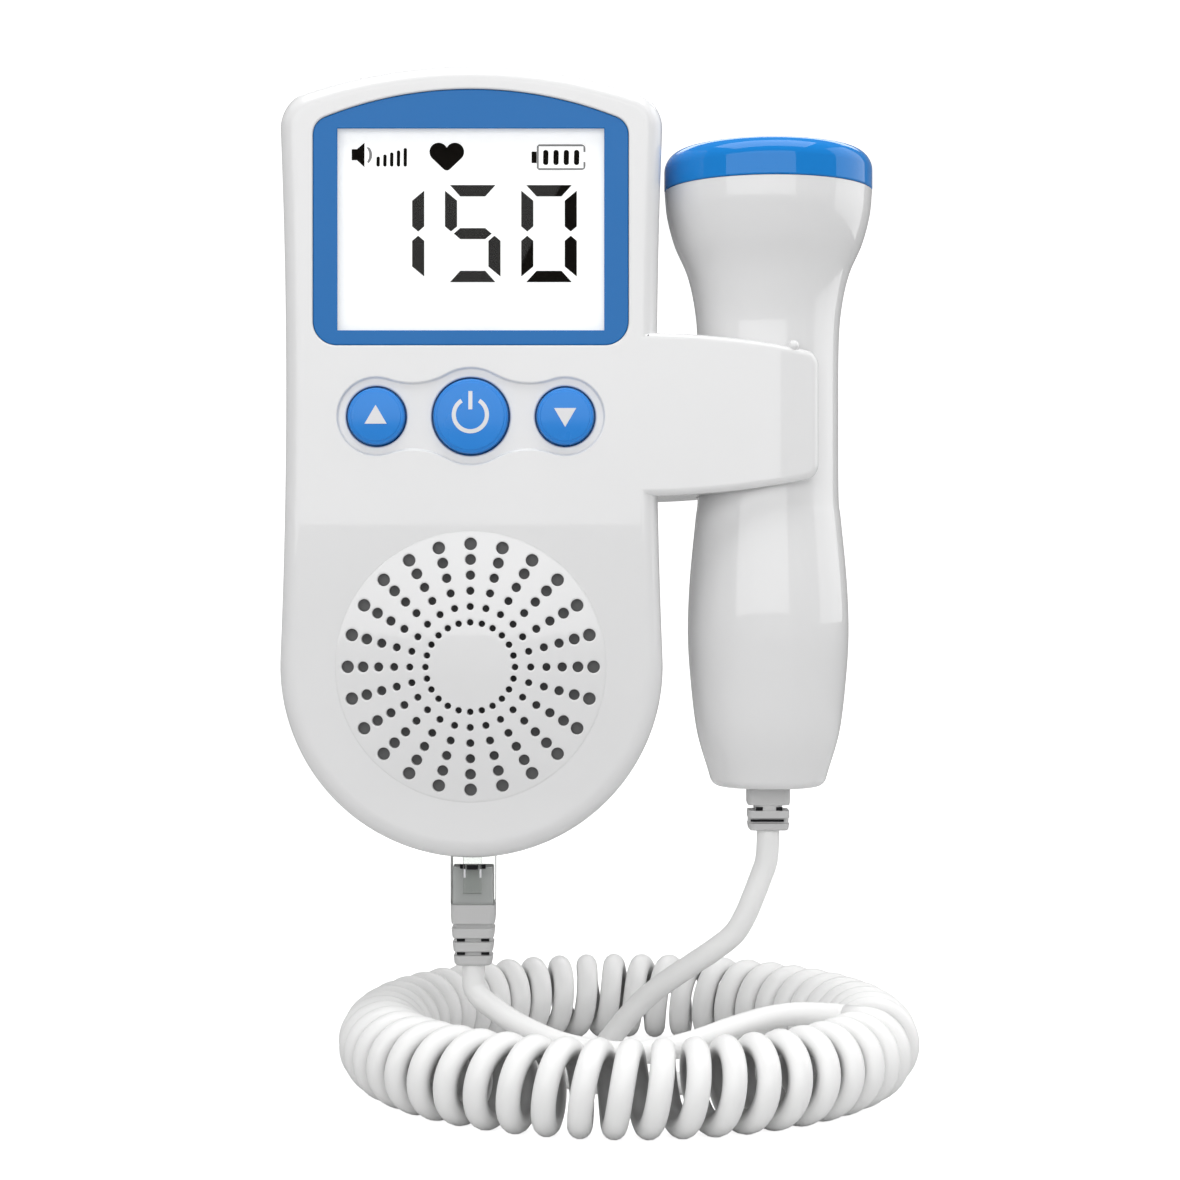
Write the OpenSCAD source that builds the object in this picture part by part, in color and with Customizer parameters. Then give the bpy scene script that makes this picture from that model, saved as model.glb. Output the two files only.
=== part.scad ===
// Fetal doppler monitor: a hand-held unit with a screen, three keys and a loudspeaker,
// a probe held in a clip on its side, and the curly cord that joins the two.
// Lengths are in millimetres. X points right, Y from front to back and Z up.
// The origin lies on the flat back of the housing, halfway up its height.

/* [Housing] */
// Height of the housing
body_h = 135; // [132:1:150]
// Width across the round bottom
body_w = 65.2; // [64:0.2:72]
// Depth from front face to back face
body_d = 34; // [34:0.5:40]
// How far each side draws in at the waist
waist_in = 1; // [0.5:0.1:1.4]
// Height of the waist above the middle
waist_z = 12; // [4:1:20]
// Radius of the arched top
arch_r = 88.7; // [80:0.1:110]
// Radius of the two top corners
corner_r = 6.6; // [6:0.1:9]
// Depth of the front shell
front_depth = 19; // [17:0.5:20]
// Rounding of the front edge
front_edge = 3.2; // [2:0.1:4]
// Rounding of the back edge
back_edge = 5; // [4:0.1:5.5]
// Thickness of the walls
wall = 2; // [1.8:0.1:2.2]

/* [Screen] */
// Distance from the housing's waist to the frame's side
bezel_side = 4.9; // [4.6:0.1:6.1]
// Distance from the housing's top to the frame's crown
bezel_gap = 4.6; // [4:0.1:5.5]
// Radius of the arched top of the frame
bezel_arch = 67; // [60:1:90]
// Radius of the frame's lower corners
bezel_corner = 4; // [3:0.1:4.5]
// Thickness of the frame
bezel_t = 1.6; // [1.5:0.1:2]
// Width of the frame beside the window
window_side = 4.1; // [3.7:0.1:5.5]
// Height of the frame below the window
window_under = 2.5; // [2.4:0.1:4]
// Height of the frame above the window, in its middle
window_over = 6.6; // [6.5:0.1:9]
// Thickness of the clear window
lens_t = 1; // [0.8:0.1:1.1]
// Thickness of the display glass
lcd_t = 2.2; // [1.8:0.1:2.3]

/* [Keys] */
// Distance from the frame's lower edge down to the row of keys
key_drop = 12.1; // [11.2:0.1:12.8]
// Distance from the row of keys down to the loudspeaker's middle
speaker_drop = 42.4; // [42:0.1:43.5]
// Distance from the middle key to each side key
key_pitch = 16; // [15.5:0.1:16.5]
// Radius of the middle key
power_r = 6.4; // [6:0.1:6.8]
// Radius of the side keys
side_key_r = 4.9; // [4.5:0.1:5.2]
// Radius of the dish round the middle key
power_dish = 8.2; // [7.8:0.1:8.4]
// Radius of the dish round each side key
side_dish = 6.6; // [6.3:0.1:6.8]
// Depth of the dish
dish_depth = 0.6; // [0.4:0.1:0.8]
// How far a key stands above the front face
key_rise = 1; // [0.6:0.1:1.4]
// How far a key travels
key_travel = 1; // [0.6:0.1:1]

/* [Loudspeaker] */
// Distance from the housing's widest side to the grille disc
grille_side = 9.6; // [9:0.1:10]
// Thickness of the grille disc at its edge
grille_t = 1.2; // [1:0.1:1.4]
// Height of the grille's dome
grille_dome = 2; // [0.8:0.1:2.4]
// Number of spokes of holes
spokes = 24; // [18:1:24]
// Holes in each spoke
spoke_holes = 6; // [4:1:6]
// Radius at which a spoke starts
spoke_start = 7.55; // [7:0.05:8]
// Distance from the outermost holes' middles to the disc's edge
spoke_rim = 2.2; // [2.15:0.05:2.8]
// Diameter of the innermost holes
hole_small = 1.1; // [0.9:0.1:1.2]
// Wall between the outermost holes of a spoke
hole_web = 0.51; // [0.5:0.01:0.9]
// Distance from the housing's widest side to the loudspeaker
speaker_side = 8.6; // [8.4:0.1:9.1]

/* [Probe] */
// Distance from the housing's widest side to the probe's axis
probe_off = 18.9; // [18.9:0.1:23]
// Depth of the probe's axis behind the front face
probe_in = 15.6; // [15.5:0.1:16.5]
// Radius of the probe at the neck
neck_r = 12.3; // [11.8:0.1:12.4]
// Radius of the probe's head
head_r = 18.25; // [17.5:0.05:18.4]
// Radius of the belly below the clip
belly_r = 14.1; // [13:0.1:15]
// Radius of the lower end
foot_r = 10.4; // [9.6:0.1:11]
// Distance from the clip's middle down to the probe's lower end
probe_drop = 64.2; // [63:0.1:68]
// Distance from the clip's middle up to the seam between handle and cap
seam_rise = 40.2; // [39.5:0.1:42]
// Height of the cap above the seam
cap_h = 8.2; // [7.8:0.1:9.5]
// Wall of the probe's shells
probe_wall = 1.8; // [1.6:0.1:2]

/* [Clip] */
// Middle of the clip above the row of keys
clip_rise = 0.4; // [-1:0.1:1.5]
// Half height of the clip where it leaves the housing
clip_half = 13.9; // [12:0.1:14.5]
// Radius of the clip's upper and lower edges
clip_arc = 147; // [120:1:180]
// Distance from the probe's axis to the fingers' tips
finger_reach = 7.6; // [6:0.1:9]
// Radius of the fingers' corners
finger_corner = 2.6; // [1.6:0.1:3]
// Rounding of the clip's edges
clip_edge = 1.2; // [0.8:0.1:1.3]
// How far the front finger bends back at its tip
finger_bend = 1.4; // [0.6:0.1:1.5]
// Thickness of the rear finger
rear_finger = 2.9; // [2.4:0.1:3.2]
// Gap between the fingers and the probe's neck
clip_gap = 0.35; // [0.3:0.05:0.45]

/* [Battery] */
// Radius of a cell
cell_r = 7.15; // [7:0.05:7.25]
// Length of a cell with its nub
cell_l = 50.5; // [49:0.1:50.5]
// Width of the battery door
door_w = 35; // [34.6:0.1:36]
// Lower end of the battery bay above the housing's lower end
bay_rise = 6.5; // [6.3:0.1:6.8]
// Thickness of the door
door_t = 1.2; // [1:0.1:1.3]
// How far the door slides
door_travel = 6; // [5:0.1:6.5]

/* [Plug] */
// Width of the plug
plug_w = 7.7; // [7.5:0.1:7.9]
// Thickness of the plug
plug_t = 6.2; // [6:0.1:6.4]
// How far the plug goes into the socket
plug_in = 8.9; // [8:0.1:9.5]
// How far the plug's body stands out of the housing
plug_out = 8.6; // [7:0.1:10]
// Length of the boot
boot_l = 10.6; // [9:0.1:13]
// Diameter of the cord
cord_d = 4; // [3.6:0.1:4]

/* [Curly cord] */
// Radius of the ring in which the curls lie
ring_r = 43; // [43:0.5:50]
// Outer diameter of a curl
curl_od = 16; // [15.5:0.1:16.5]
// Number of curls
curls = 49.5; // [40.5:1:49.5]
// Turn of the ring from curl to curl
curl_turn = 7.06; // [7.05:0.01:7.3]
// Distance from the boot's end down to the floor
floor_drop = 22.15; // [20:0.05:36]

/* [Hidden] */
$fn = 64;

white = [0.92, 0.92, 0.93];
blue = [0.18, 0.47, 0.76];
key_blue = [0.24, 0.55, 0.85];
green = [0.1, 0.42, 0.24];
dark = [0.16, 0.16, 0.17];
steel = [0.72, 0.72, 0.74];
gold = [0.85, 0.68, 0.3];
clear = [0.85, 0.92, 0.96, 0.5];
rubber = [0.75, 0.77, 0.8];

fit = 0.1;          // gap between pieces that sit in each other
play = 0.25;        // gap round pieces that move
touch = 0.05;       // gap between faces that rest on each other
cut = 1;            // how far a cutter runs past what it cuts

// Depth planes of the housing
front_y = -body_d;
split_y = front_y + front_depth;
inner_y = front_y + wall;

// Centres and radii of the arcs of the housing's outline
top_z = body_h / 2;
bottom_z = -body_h / 2;
end_r = body_w / 2;
end_c = [0, end_r - body_h / 2];
waist_half = end_r - waist_in;
side_r = (pow(waist_z - end_c.y, 2) + pow(waist_half, 2) - pow(end_r, 2)) / (2 * waist_in);
side_c = [waist_half + side_r, waist_z];
arch_c = [0, body_h / 2 - arch_r];
corner_c = meet(side_c, side_r + corner_r, arch_c, arch_r - corner_r);
side_a = atan2(waist_z - end_c.y, side_c.x);
corner_a = atan2(side_c.y - corner_c.y, side_c.x - corner_c.x);
arch_a = atan2(corner_c.y - arch_c.y, corner_c.x);

// Lap joint between the two shells
lap_in = 1;
lap_depth = 1.5;

// Screen stack, from the front face inwards
bezel_top = top_z - bezel_gap;
bezel_half = waist_half - bezel_side;
bezel_low = end_c.y + speaker_drop + key_drop;
bezel_h = bezel_top - bezel_low;
window_w = 2 * (bezel_half - window_side);
window_h = bezel_h - window_under - window_over;
window_z = bezel_low + window_under + window_h / 2;
bezel_sink = 0.2;
bezel_y = front_y + bezel_sink;
bezel_back = bezel_y + bezel_t;
bezel_tip = 3.2;
bezel_arch_c = [0, bezel_top - bezel_arch];
bezel_bevel = 0.4;
lens_lap = 1;
lens_w = window_w + 2 * lens_lap;
lens_h = window_h + 2 * lens_lap;
lcd_y = bezel_back + fit;
lcd_play = 0.35;
pad_t = 1.6;
light_y = lcd_y + lcd_t + fit;
light_t = 3;
board_y = light_y + light_t + fit;
board_t = 1.6;
board_half = waist_half - wall - 1.6;
board_top = top_z - 7.5;
board_cut = 10;
chip_t = 1.4;
chip_half = 6;
plug_row_t = 3.2;
can_r = 2.5;
can_l = 5;

// Keys, from the inside of the front wall inwards
key_z = bezel_low - key_drop;
flange_gap = 0.3;
flange_t = 0.8;
flange_lip = 0.9;
stem_t = 0.3;
key_back = inner_y + flange_gap + flange_t + stem_t;
key_bevel = 0.5;
key_crown = 0.3;
mat_t = 0.8;
mat_y = key_back + key_travel + fit;
mat_half = key_pitch + 7;
mat_tall = power_r + 2.2;
mat_rim = 1;
switch_half = 3;
switch_t = 1.5;
plunger_r = 1.7;
saddle_r = 12;

// Loudspeaker, from the grille inwards
grille_z = end_c.y;
grille_r = end_r - grille_side;
speaker_r = end_r - speaker_side;
spoke_step = (grille_r - spoke_rim - spoke_start) / (spoke_holes - 1);
hole_large = spoke_step - hole_web;
dome_r = (pow(grille_r, 2) + pow(grille_dome, 2)) / (2 * grille_dome);
grille_seat = 0.9;
cloth_t = 0.3;
gasket_in = 2.1;
gasket_y = inner_y + touch;
gasket_t = 0.75;
speaker_y = gasket_y + gasket_t;
speaker_lip = 1;
basket_r = speaker_r - 4;
basket_l = 3.9;
magnet_r = 11;
magnet_l = 5.4;
ring_gap = 0.3;
ring_w = 1.2;
ring_l = 2.6;

// Battery tub, from the back face inwards
tub_wall = 1.2;
cell_gap = 0.25;
cell_x = cell_r + 0.45;
tub_half = cell_x + cell_r + 0.55;
tub_floor = -(door_t + 1.85 + 2 * cell_r + cell_gap);
cell_y = tub_floor + cell_gap + cell_r;
nub_l = 1;
nub_r = 2.6;
plate_t = 0.4;
spring_l = 1.9;
dimple_l = 1.05;
tub_low = bottom_z + bay_rise;
tub_top = tub_low + 2 * plate_t + dimple_l + spring_l + cell_l + 2 * touch;
door_top = tub_top + 2;
contact_half = 6;

// Battery door
door_half = door_w / 2;
door_lip_z = tub_low - 1;
door_lip_t = 4;
hook_l = 4.5;
hook_leg = 0.9;
hook_foot = 1.5;
hook_t = 0.9;
hook_gap = 0.4;
hook_ends = [9.4, 14.95];
hook_z = [door_top - hook_ends[0], tub_low + hook_ends[1]];
ledge_y = -wall - 0.2;
grip_n = 5;
grip_step = 1.8;
grip_w = 12;
grip_t = 0.8;

// Housing screws
screw_high = [waist_half - 5.1, top_z - 12];
screw_low = [end_r - 9.8, end_c.y - 15.9];
screw_at = [screw_high, [-screw_high.x, screw_high.y], screw_low, [-screw_low.x, screw_low.y]];
screw_y = -10.6;
screw_head = 2;
screw_head_l = 1.6;
screw_shank = 1.05;
screw_l = 12.5;
boss_r = 2.7;
rear_boss = 3.3;
post_z = key_z - 13.5;
post_at = [[waist_half - 6.6, post_z], [6.6 - waist_half, post_z]];
post_r = 2.4;

// Earphone jack, in the left wall behind the board
jack_drop = 37.5;
jack_z = top_z - jack_drop;
jack_r = 1.75;
jack_nose = 2.9;
jack_body = 6;
jack_y = board_y + board_t + fit + jack_body / 2;
jack_wall = end_r - waist_in;
jack_l = 11;

// Clip
probe_x = end_r + probe_off;
probe_y = front_y + probe_in;
clip_z = key_z + clip_rise;
slot_r = neck_r + clip_gap;
clip_root = end_r - 4.6;
clip_tip = probe_x + finger_reach;
clip_arc_c = clip_arc - clip_half;
clip_tip_c = [clip_tip - finger_corner,
    sqrt(pow(clip_arc - finger_corner, 2) - pow(clip_tip - finger_corner - clip_root, 2)) - clip_arc_c];
clip_back = probe_y + slot_r + rear_finger;

// Probe: its ends, and half the profile's control points, [radius, height]
probe_low = clip_z - probe_drop;
seam_z = clip_z + seam_rise;
probe_profile = [[foot_r - 0.9, probe_low + 0.5], [foot_r, probe_low + 2.2],
    [(foot_r + belly_r) / 2 + 0.3, probe_low + 9.8], [belly_r - 0.4, probe_low + 19.5],
    [belly_r, probe_low + 27.3], [belly_r - 0.35, probe_low + 36.3],
    [neck_r + 0.45, clip_z - clip_half - 3.5], [neck_r + 0.06, clip_z - clip_half + 0.5],
    [neck_r, clip_z], [neck_r + 0.06, clip_z + clip_half - 1.4],
    [neck_r + 0.55, clip_z + clip_half + 5.4], [neck_r + 1.9, seam_z - 14.7],
    [(neck_r + head_r) / 2 + 1.2, seam_z - 9.4], [head_r - 0.5, seam_z - 4.6],
    [head_r - 0.05, seam_z - touch]];
cap_side = 3.4;
cap_round = 3.5;
cap_face = 1.7;
spigot_w = 1.5;
spigot_l = 3;
spigot_r = head_r - probe_wall;
holder_l = 5.6;
crystal_t = 1;
crystal_r = 12.5;
crystal_gap = 1.2;
probe_board_half = neck_r - probe_wall - 0.3;
probe_board_t = 1.2;
probe_board_z = [probe_low + 22.3, seam_z - 26.1];
tail_w = 7.4;
tail_t = 6.4;
tail_l = 7.6;
tail_neck = 2.45;
tail_end = probe_low - touch - tail_l;

// Socket and plug
socket_back = tub_floor - tub_wall - 0.5;
socket_wall = 1.15;
plug_play = 0.15;
latch_t = 1.5;
plug_y = socket_back - socket_wall - plug_play - plug_t / 2;
plug_top = bottom_z + plug_in;
plug_low = bottom_z - plug_out;
boot_end = plug_low - touch - boot_l;
groove_end = 1.5;
groove_step = 2.4;
socket_half = plug_w / 2 + plug_play + 1.6;
socket_front = plug_y - plug_t / 2 - latch_t - 2 * plug_play - 0.8;
socket_low = bottom_z + 1.2;
socket_top = plug_top + 2.1;
blade_n = 4;
blade_step = 1.02;
blade_t = 0.35;
blade_l = 5;

// The ring of curls, seen from its centre on the floor, and the two leads
floor_z = boot_end - floor_drop;
ring_in = 24.5;
ring_at = [probe_x - ring_in, probe_y + 2, floor_z];
curl_r = (curl_od - cord_d) / 2;
curl_start = -20;
curl_rings = 8;
curl_sides = 6;
lead_sides = 8;
straight = cord_d;
plug_route = [[-26.8, -7.5, 17.9], [-25.6, -8.4, 16.3], [-23.4, -9.9, 14.9], [-20.4, -12.1, 13.2],
    [-16.6, -14.8, 11.7], [-12.4, -17.6, 10.5], [-8, -19.9, 9.8], [-3, -21.8, 9.5],
    [2.2, -22.8, 9.8], [7.2, -22.4, 10.5], [11.8, -20.4, 11.4], [16, -17.3, 12.3],
    [19.8, -14, 12.9], [23.8, -11.1, 13.4], [28.4, -9.7, 13.8]];
probe_route = [[24.2, -2, 39.4], [23.2, -1.9, 36.4], [21.9, -1.8, 33], [20.5, -1.4, 29.6],
    [18.6, -0.8, 26.4], [15.4, 0.2, 23.6], [10.6, 2.2, 20], [5.2, 4.6, 15.8], [1, 6.5, 11.6],
    [-2.6, 7.8, 7], [-5.8, 7.4, 3.4], [-9.2, 4.8, 2], [-11.4, 0.6, 2], [-10.8, -4.4, 2],
    [-7, -8.6, 2], [-0.6, -10.4, 2], [8, -10.2, 2], [17, -8.8, 2], [26, -7.4, 2]];

// ---------- arcs, outlines and skins ----------

// Where two circles meet, on the right-hand side when going from a to b
function meet(a, ra, b, rb) =
    let (d = norm(b - a), u = (b - a) / d, t = (d * d + ra * ra - rb * rb) / (2 * d))
    a + t * u + sqrt(ra * ra - t * t) * [u.y, -u.x];

// n points of an arc, without its last one
function arc(c, r, a0, a1, n) =
    [for (i = [0:n - 1]) let (a = a0 + (a1 - a0) * i / n) c + r * [cos(a), sin(a)]];

// A right-hand half outline with its mirror image
function both_sides(half) =
    concat(half, [for (i = [len(half) - 2:-1:1]) [-half[i].x, half[i].y]]);

// The housing's outline, drawn in by d
function housing(d) = both_sides(concat(
    arc(end_c, end_r - d, -90, side_a, 14),
    arc(side_c, side_r + d, 180 + side_a, 180 + corner_a, 5),
    arc(corner_c, corner_r - d, corner_a, arch_a, 6),
    arc(arch_c, arch_r - d, arch_a, 90, 6), [[0, body_h / 2 - d]]));

// The blue frame's outline, drawn in by d
function frame_line(d) =
    let (low = [bezel_half - bezel_corner, bezel_low + bezel_corner],
         tip_x = bezel_half - bezel_tip,
         tip = [tip_x, bezel_arch_c.y + sqrt(pow(bezel_arch - bezel_tip, 2) - tip_x * tip_x)],
         tip_a = atan2(tip.y - bezel_arch_c.y, tip.x))
    both_sides(concat([[0, bezel_low + d]], arc(low, bezel_corner - d, -90, 0, 6),
        [[bezel_half - d, low.y]], arc(tip, bezel_tip - d, 0, tip_a, 5),
        arc(bezel_arch_c, bezel_arch - d, tip_a, 90, 8), [[0, bezel_top - d]]));

// The clip's outline, drawn in by d: upper and lower edges are shallow arcs
function clip_line(d) =
    let (a = atan2(clip_tip_c.y + clip_arc_c, clip_tip_c.x - clip_root),
         upper = concat(
             [for (p = arc([clip_root, -clip_arc_c], clip_arc - d, 90, a, 6)) p],
             arc(clip_tip_c, finger_corner - d, a, 0, 4),
             [[clip_tip - d, clip_tip_c.y]]))
    concat([for (p = upper) [p.x, clip_z - p.y]],
           [for (i = [len(upper) - 1:-1:0]) [upper[i].x, clip_z + upper[i].y]]);

// A rounded rectangle of half sizes a and b, with corner radius r
function round_box(a, b, r) =
    [for (q = [0:3], i = [0:3]) let (s = [[1, 1], [-1, 1], [-1, -1], [1, -1]][q], t = q * 90 + i * 30)
        [s.x * (a - r) + r * cos(t), s.y * (b - r) + r * sin(t)]];

// Rings of a rounded edge at depth y: from the face, drawn in by d + r, to the side
function edge_rings(y, way, r, n) =
    [for (i = [0:n]) let (a = 90 * i / n) [y + way * r * (1 - cos(a)), r * (1 - sin(a))]];

// A closed skin through rings of points; the first ring runs anticlockwise seen from outside
module skin(rings) {
    n = len(rings[0]);
    m = len(rings);
    sides = [for (j = [0:m - 2], i = [0:n - 1])
        let (a = j * n + i, b = j * n + (i + 1) % n) each [[a, b, b + n], [a, b + n, a + n]]];
    polyhedron([for (ring = rings) each ring],
        concat([[for (i = [n - 1:-1:0]) i]], sides, [[for (i = [0:n - 1]) (m - 1) * n + i]]),
        convexity = 6);
}

// Points of an outline in X and Z at depth y
function at_depth(line, y) = [for (p = line) [p.x, y, p.y]];

// The housing between two depths, drawn in by d, with its front and back edges rounded
module housing_skin(y0, y1, d, front_r, back_r) {
    rings = concat(
        front_r > 0 ? edge_rings(y0, 1, front_r, 5) : [[y0, 0]],
        back_r > 0 ? [for (i = [5:-1:0]) edge_rings(y1, -1, back_r, 5)[i]] : [[y1, 0]]);
    skin([for (r = rings) at_depth(housing(d + r[1]), r[0])]);
}

// A flat plate with its outline in X and Z, from depth y0 to y1
module plate(y0, y1) {
    translate([0, y1, 0]) rotate([90, 0, 0]) linear_extrude(y1 - y0) children();
}

// A rod along Y from depth y0 to y1
module rod(at, r, y0, y1) {
    translate([at.x, y1, at.y]) rotate([90, 0, 0]) cylinder(r = r, h = y1 - y0);
}

// A box given by its lowest and highest corners
module block(low, high) {
    translate(low) cube(high - low);
}

// A solid turned about an axis along Y: heights point to the front from depth y
module turned(at, y, profile) {
    translate([at.x, y, at.y]) rotate([90, 0, 0]) rotate_extrude() polygon(profile);
}

// ---------- housing ----------

// How far the front finger bends back at x
function bend_at(x) =
    let (t = max(0, x - probe_x) / finger_reach) finger_bend * pow(t, 1.6);

// One half of the clip, from the split to its face at depth y1, before the slot is cut
module clip_half_solid(y1, way, bent) {
    e = edge_rings(y1, way, clip_edge, 4);
    rings = concat(e, [[split_y, 0]]);
    n = len(clip_line(0));
    m = len(rings);
    pts = [for (k = [0:m - 1]) for (p = clip_line(rings[k][1]))
        [p.x, rings[k][0] + (bent && k < m - 1 ? bend_at(p.x) : 0), p.y]];
    side = [for (j = [0:m - 2], i = [0:n - 1])
        let (a = j * n + i, b = j * n + (i + 1) % n) each [[a, b, b + n], [a, b + n, a + n]]];
    face = [for (i = [0:n / 2 - 2]) each [[n - 1 - i, n - 2 - i, i + 1], [n - 1 - i, i + 1, i]]];
    back = [[for (i = [0:n - 1]) (m - 1) * n + i]];
    faces = concat(face, side, back);
    polyhedron(pts, way > 0 ? faces : [for (f = faces) [for (i = [len(f) - 1:-1:0]) f[i]]],
        convexity = 4);
}

// The space that the probe's neck slides through
module clip_slot() {
    tall = 2 * clip_half + 2 * cut;
    translate([probe_x, probe_y, clip_z - tall / 2]) cylinder(r = slot_r, h = tall);
    translate([probe_x, probe_y - slot_r, clip_z - tall / 2])
        cube([finger_reach + cut, 2 * slot_r, tall]);
}

// The dish round the keys, made wider by e
module key_dish(e) {
    far = power_dish + saddle_r;
    near = side_dish + saddle_r;
    s = meet([key_pitch, 0], near, [0, 0], far);
    translate([0, key_z]) {
        circle(r = power_dish + e);
        for (m = [-1, 1]) translate([m * key_pitch, 0]) circle(r = side_dish + e);
        difference() {
            polygon([[key_pitch, 0], s, [0, 0], [-s.x, s.y],
                [-key_pitch, 0], [-s.x, -s.y], [0, 0], [s.x, -s.y]]);
            for (m = [-1, 1], k = [-1, 1]) translate([m * s.x, k * s.y]) circle(r = saddle_r - e);
        }
    }
}

module front_cover() color(white) difference() {
    union() {
        difference() {
            union() {
                housing_skin(front_y, split_y, 0, front_edge, 0);
                clip_half_solid(front_y, 1, true);
            }
            housing_skin(inner_y, split_y + cut, wall, 1.6, 0);
            housing_skin(split_y - lap_depth - fit, split_y + cut, lap_in, 0, 0);
        }
        plate(inner_y - touch, inner_y + pad_t) polygon(frame_line(0));
        difference() {
            rod([0, grille_z], speaker_r + ring_gap + ring_w, inner_y - touch, inner_y + ring_l);
            rod([0, grille_z], speaker_r + ring_gap, inner_y - cut, inner_y + ring_l + cut);
        }
        for (p = screw_at) rod(p, boss_r, inner_y - touch, split_y);
        for (p = post_at) rod(p, post_r, inner_y - touch, board_y - touch);
    }
    plate(front_y - cut, bezel_back) polygon(frame_line(-fit));
    plate(front_y - cut, inner_y + pad_t + cut) translate([0, window_z])
        square([lens_w + 0.5, lens_h + 0.2], center = true);
    plate(front_y - cut, front_y + dish_depth) key_dish(0);
    rod([0, key_z], power_r + play, front_y - cut, inner_y + cut);
    for (m = [-1, 1]) rod([m * key_pitch, key_z], side_key_r + play, front_y - cut, inner_y + cut);
    rod([0, grille_z], grille_r + fit, front_y - cut, front_y + grille_t);
    rod([0, grille_z], grille_r - grille_seat, front_y - cut, inner_y + cut);
    for (p = screw_at) rod(p, screw_shank + 0.02, screw_y - screw_l - cut, split_y + cut);
    block([-socket_half - fit, socket_front - fit, bottom_z - cut],
          [socket_half + fit, socket_back + fit, bottom_z + 4]);
    translate([-jack_wall - cut - 1, jack_y, jack_z]) rotate([0, 90, 0])
        cylinder(r = jack_nose + fit, h = wall + 2 * cut + 1);
    clip_slot();
}

// The recess that the door slides in, and the way out for its hooks
module door_space() {
    g = play;
    block([-door_half - g, -door_t - fit, bottom_z - cut], [door_half + g, cut, door_top + g]);
    block([-door_half - g, -door_lip_t - g, bottom_z - cut], [door_half + g, cut, door_lip_z + g]);
    for (m = [-1, 1], z = hook_z) {
        x = m > 0 ? tub_half - touch : -tub_half - hook_foot - g + touch;
        block([x, ledge_y - hook_gap - hook_t - g, z - door_travel - hook_l / 2 - g],
              [x + hook_foot + g, ledge_y, z + hook_l / 2 + g]);
        block([x, ledge_y - cut, z - door_travel - hook_l / 2 - g],
              [x + hook_foot + g, 0, z - door_travel + hook_l / 2 + g]);
    }
}

// The room inside the housing that the rear shell's inner walls may fill
module rear_room() {
    housing_skin(tub_floor - 2 * tub_wall, split_y + touch, wall + fit, 0, 0);
    housing_skin(split_y, -touch, lap_in, 0, back_edge - lap_in);
}

module rear_cover() color(white) difference() {
    union() {
        difference() {
            union() {
                housing_skin(split_y, 0, 0, 0, back_edge);
                clip_half_solid(clip_back, -1, false);
            }
            housing_skin(split_y - cut, -wall - 0.2, wall, 0, 3);
        }
        difference() {
            housing_skin(split_y - lap_depth, split_y + 2, lap_in + fit, 0, 0);
            housing_skin(split_y - lap_depth - cut, split_y + 2 + cut, wall, 0, 0);
        }
        intersection() {
            block([-tub_half - tub_wall, tub_floor - tub_wall, tub_low - tub_wall],
                  [tub_half + tub_wall, -wall, tub_top + tub_wall]);
            rear_room();
        }
        intersection() {
            block([-door_half - wall, -door_lip_t - play - tub_wall, bottom_z],
                  [door_half + wall, -door_lip_t - play, tub_low]);
            rear_room();
        }
        for (p = screw_at) rod(p, rear_boss, split_y, -wall);
    }
    block([-tub_half, tub_floor, tub_low], [tub_half, cut, tub_top]);
    door_space();
    for (p = screw_at) {
        rod(p, screw_head + 0.3, screw_y, cut);
        rod(p, screw_shank + fit, split_y - cut, cut);
    }
    clip_slot();
}

module battery_door() color(white) difference() {
    union() {
        intersection() {
            housing_skin(split_y, 0, 0, 0, back_edge);
            union() {
                block([-door_half, -door_t, bottom_z - cut], [door_half, cut, door_top]);
                block([-door_half, -door_lip_t, bottom_z - cut], [door_half, cut, door_lip_z]);
            }
        }
        for (m = [0, 1], z = hook_z) mirror([m, 0, 0]) {
            leg = tub_half - play - hook_leg;
            low = ledge_y - hook_gap - hook_t;
            block([leg, low, z - hook_l / 2], [leg + hook_leg, -door_t + touch, z + hook_l / 2]);
            block([leg, low, z - hook_l / 2],
                  [leg + hook_leg + hook_foot, low + hook_t, z + hook_l / 2]);
        }
    }
    for (i = [0:grip_n - 1])
        block([-grip_w / 2, -grip_t / 2, door_top - 6 - i * grip_step - grip_t],
              [grip_w / 2, cut, door_top - 6 - i * grip_step]);
}

module housing_screws() color(steel) for (p = screw_at)
    turned(p, screw_y + screw_head_l, [[0, 0.6], [0.9, 0.6], [0.9, 0], [screw_head - 0.4, 0],
        [screw_head, 0.5], [screw_head, screw_head_l], [screw_shank, screw_head_l],
        [screw_shank, screw_head_l + screw_l - 1], [0.2, screw_head_l + screw_l],
        [0, screw_head_l + screw_l]]);

// ---------- screen ----------

module window_plate(w, h, y0, y1) {
    plate(y0, y1) translate([0, window_z]) square([w, h], center = true);
}

module screen_bezel() color(blue) difference() {
    skin([at_depth(frame_line(bezel_bevel), bezel_y), at_depth(frame_line(0), bezel_y + bezel_bevel),
        at_depth(frame_line(0), bezel_back - touch)]);
    window_plate(window_w, window_h, bezel_y - cut, bezel_back + cut);
    window_plate(lens_w + fit, lens_h + fit, bezel_back - lens_t - fit, bezel_back + cut);
}

module screen_lens() color(clear)
    window_plate(lens_w, lens_h, bezel_back - lens_t, bezel_back);

module lcd_panel() color([0.95, 0.96, 0.95])
    window_plate(lens_w - lcd_play, lens_h - lcd_play, lcd_y, lcd_y + lcd_t);

module lcd_backlight() color(rubber) {
    window_plate(lens_w - lcd_play, lens_h - lcd_play, light_y, light_y + light_t - 0.6);
    window_plate(lens_w - 4, lens_h - 4, light_y, light_y + light_t);
}

// ---------- keys ----------

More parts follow.
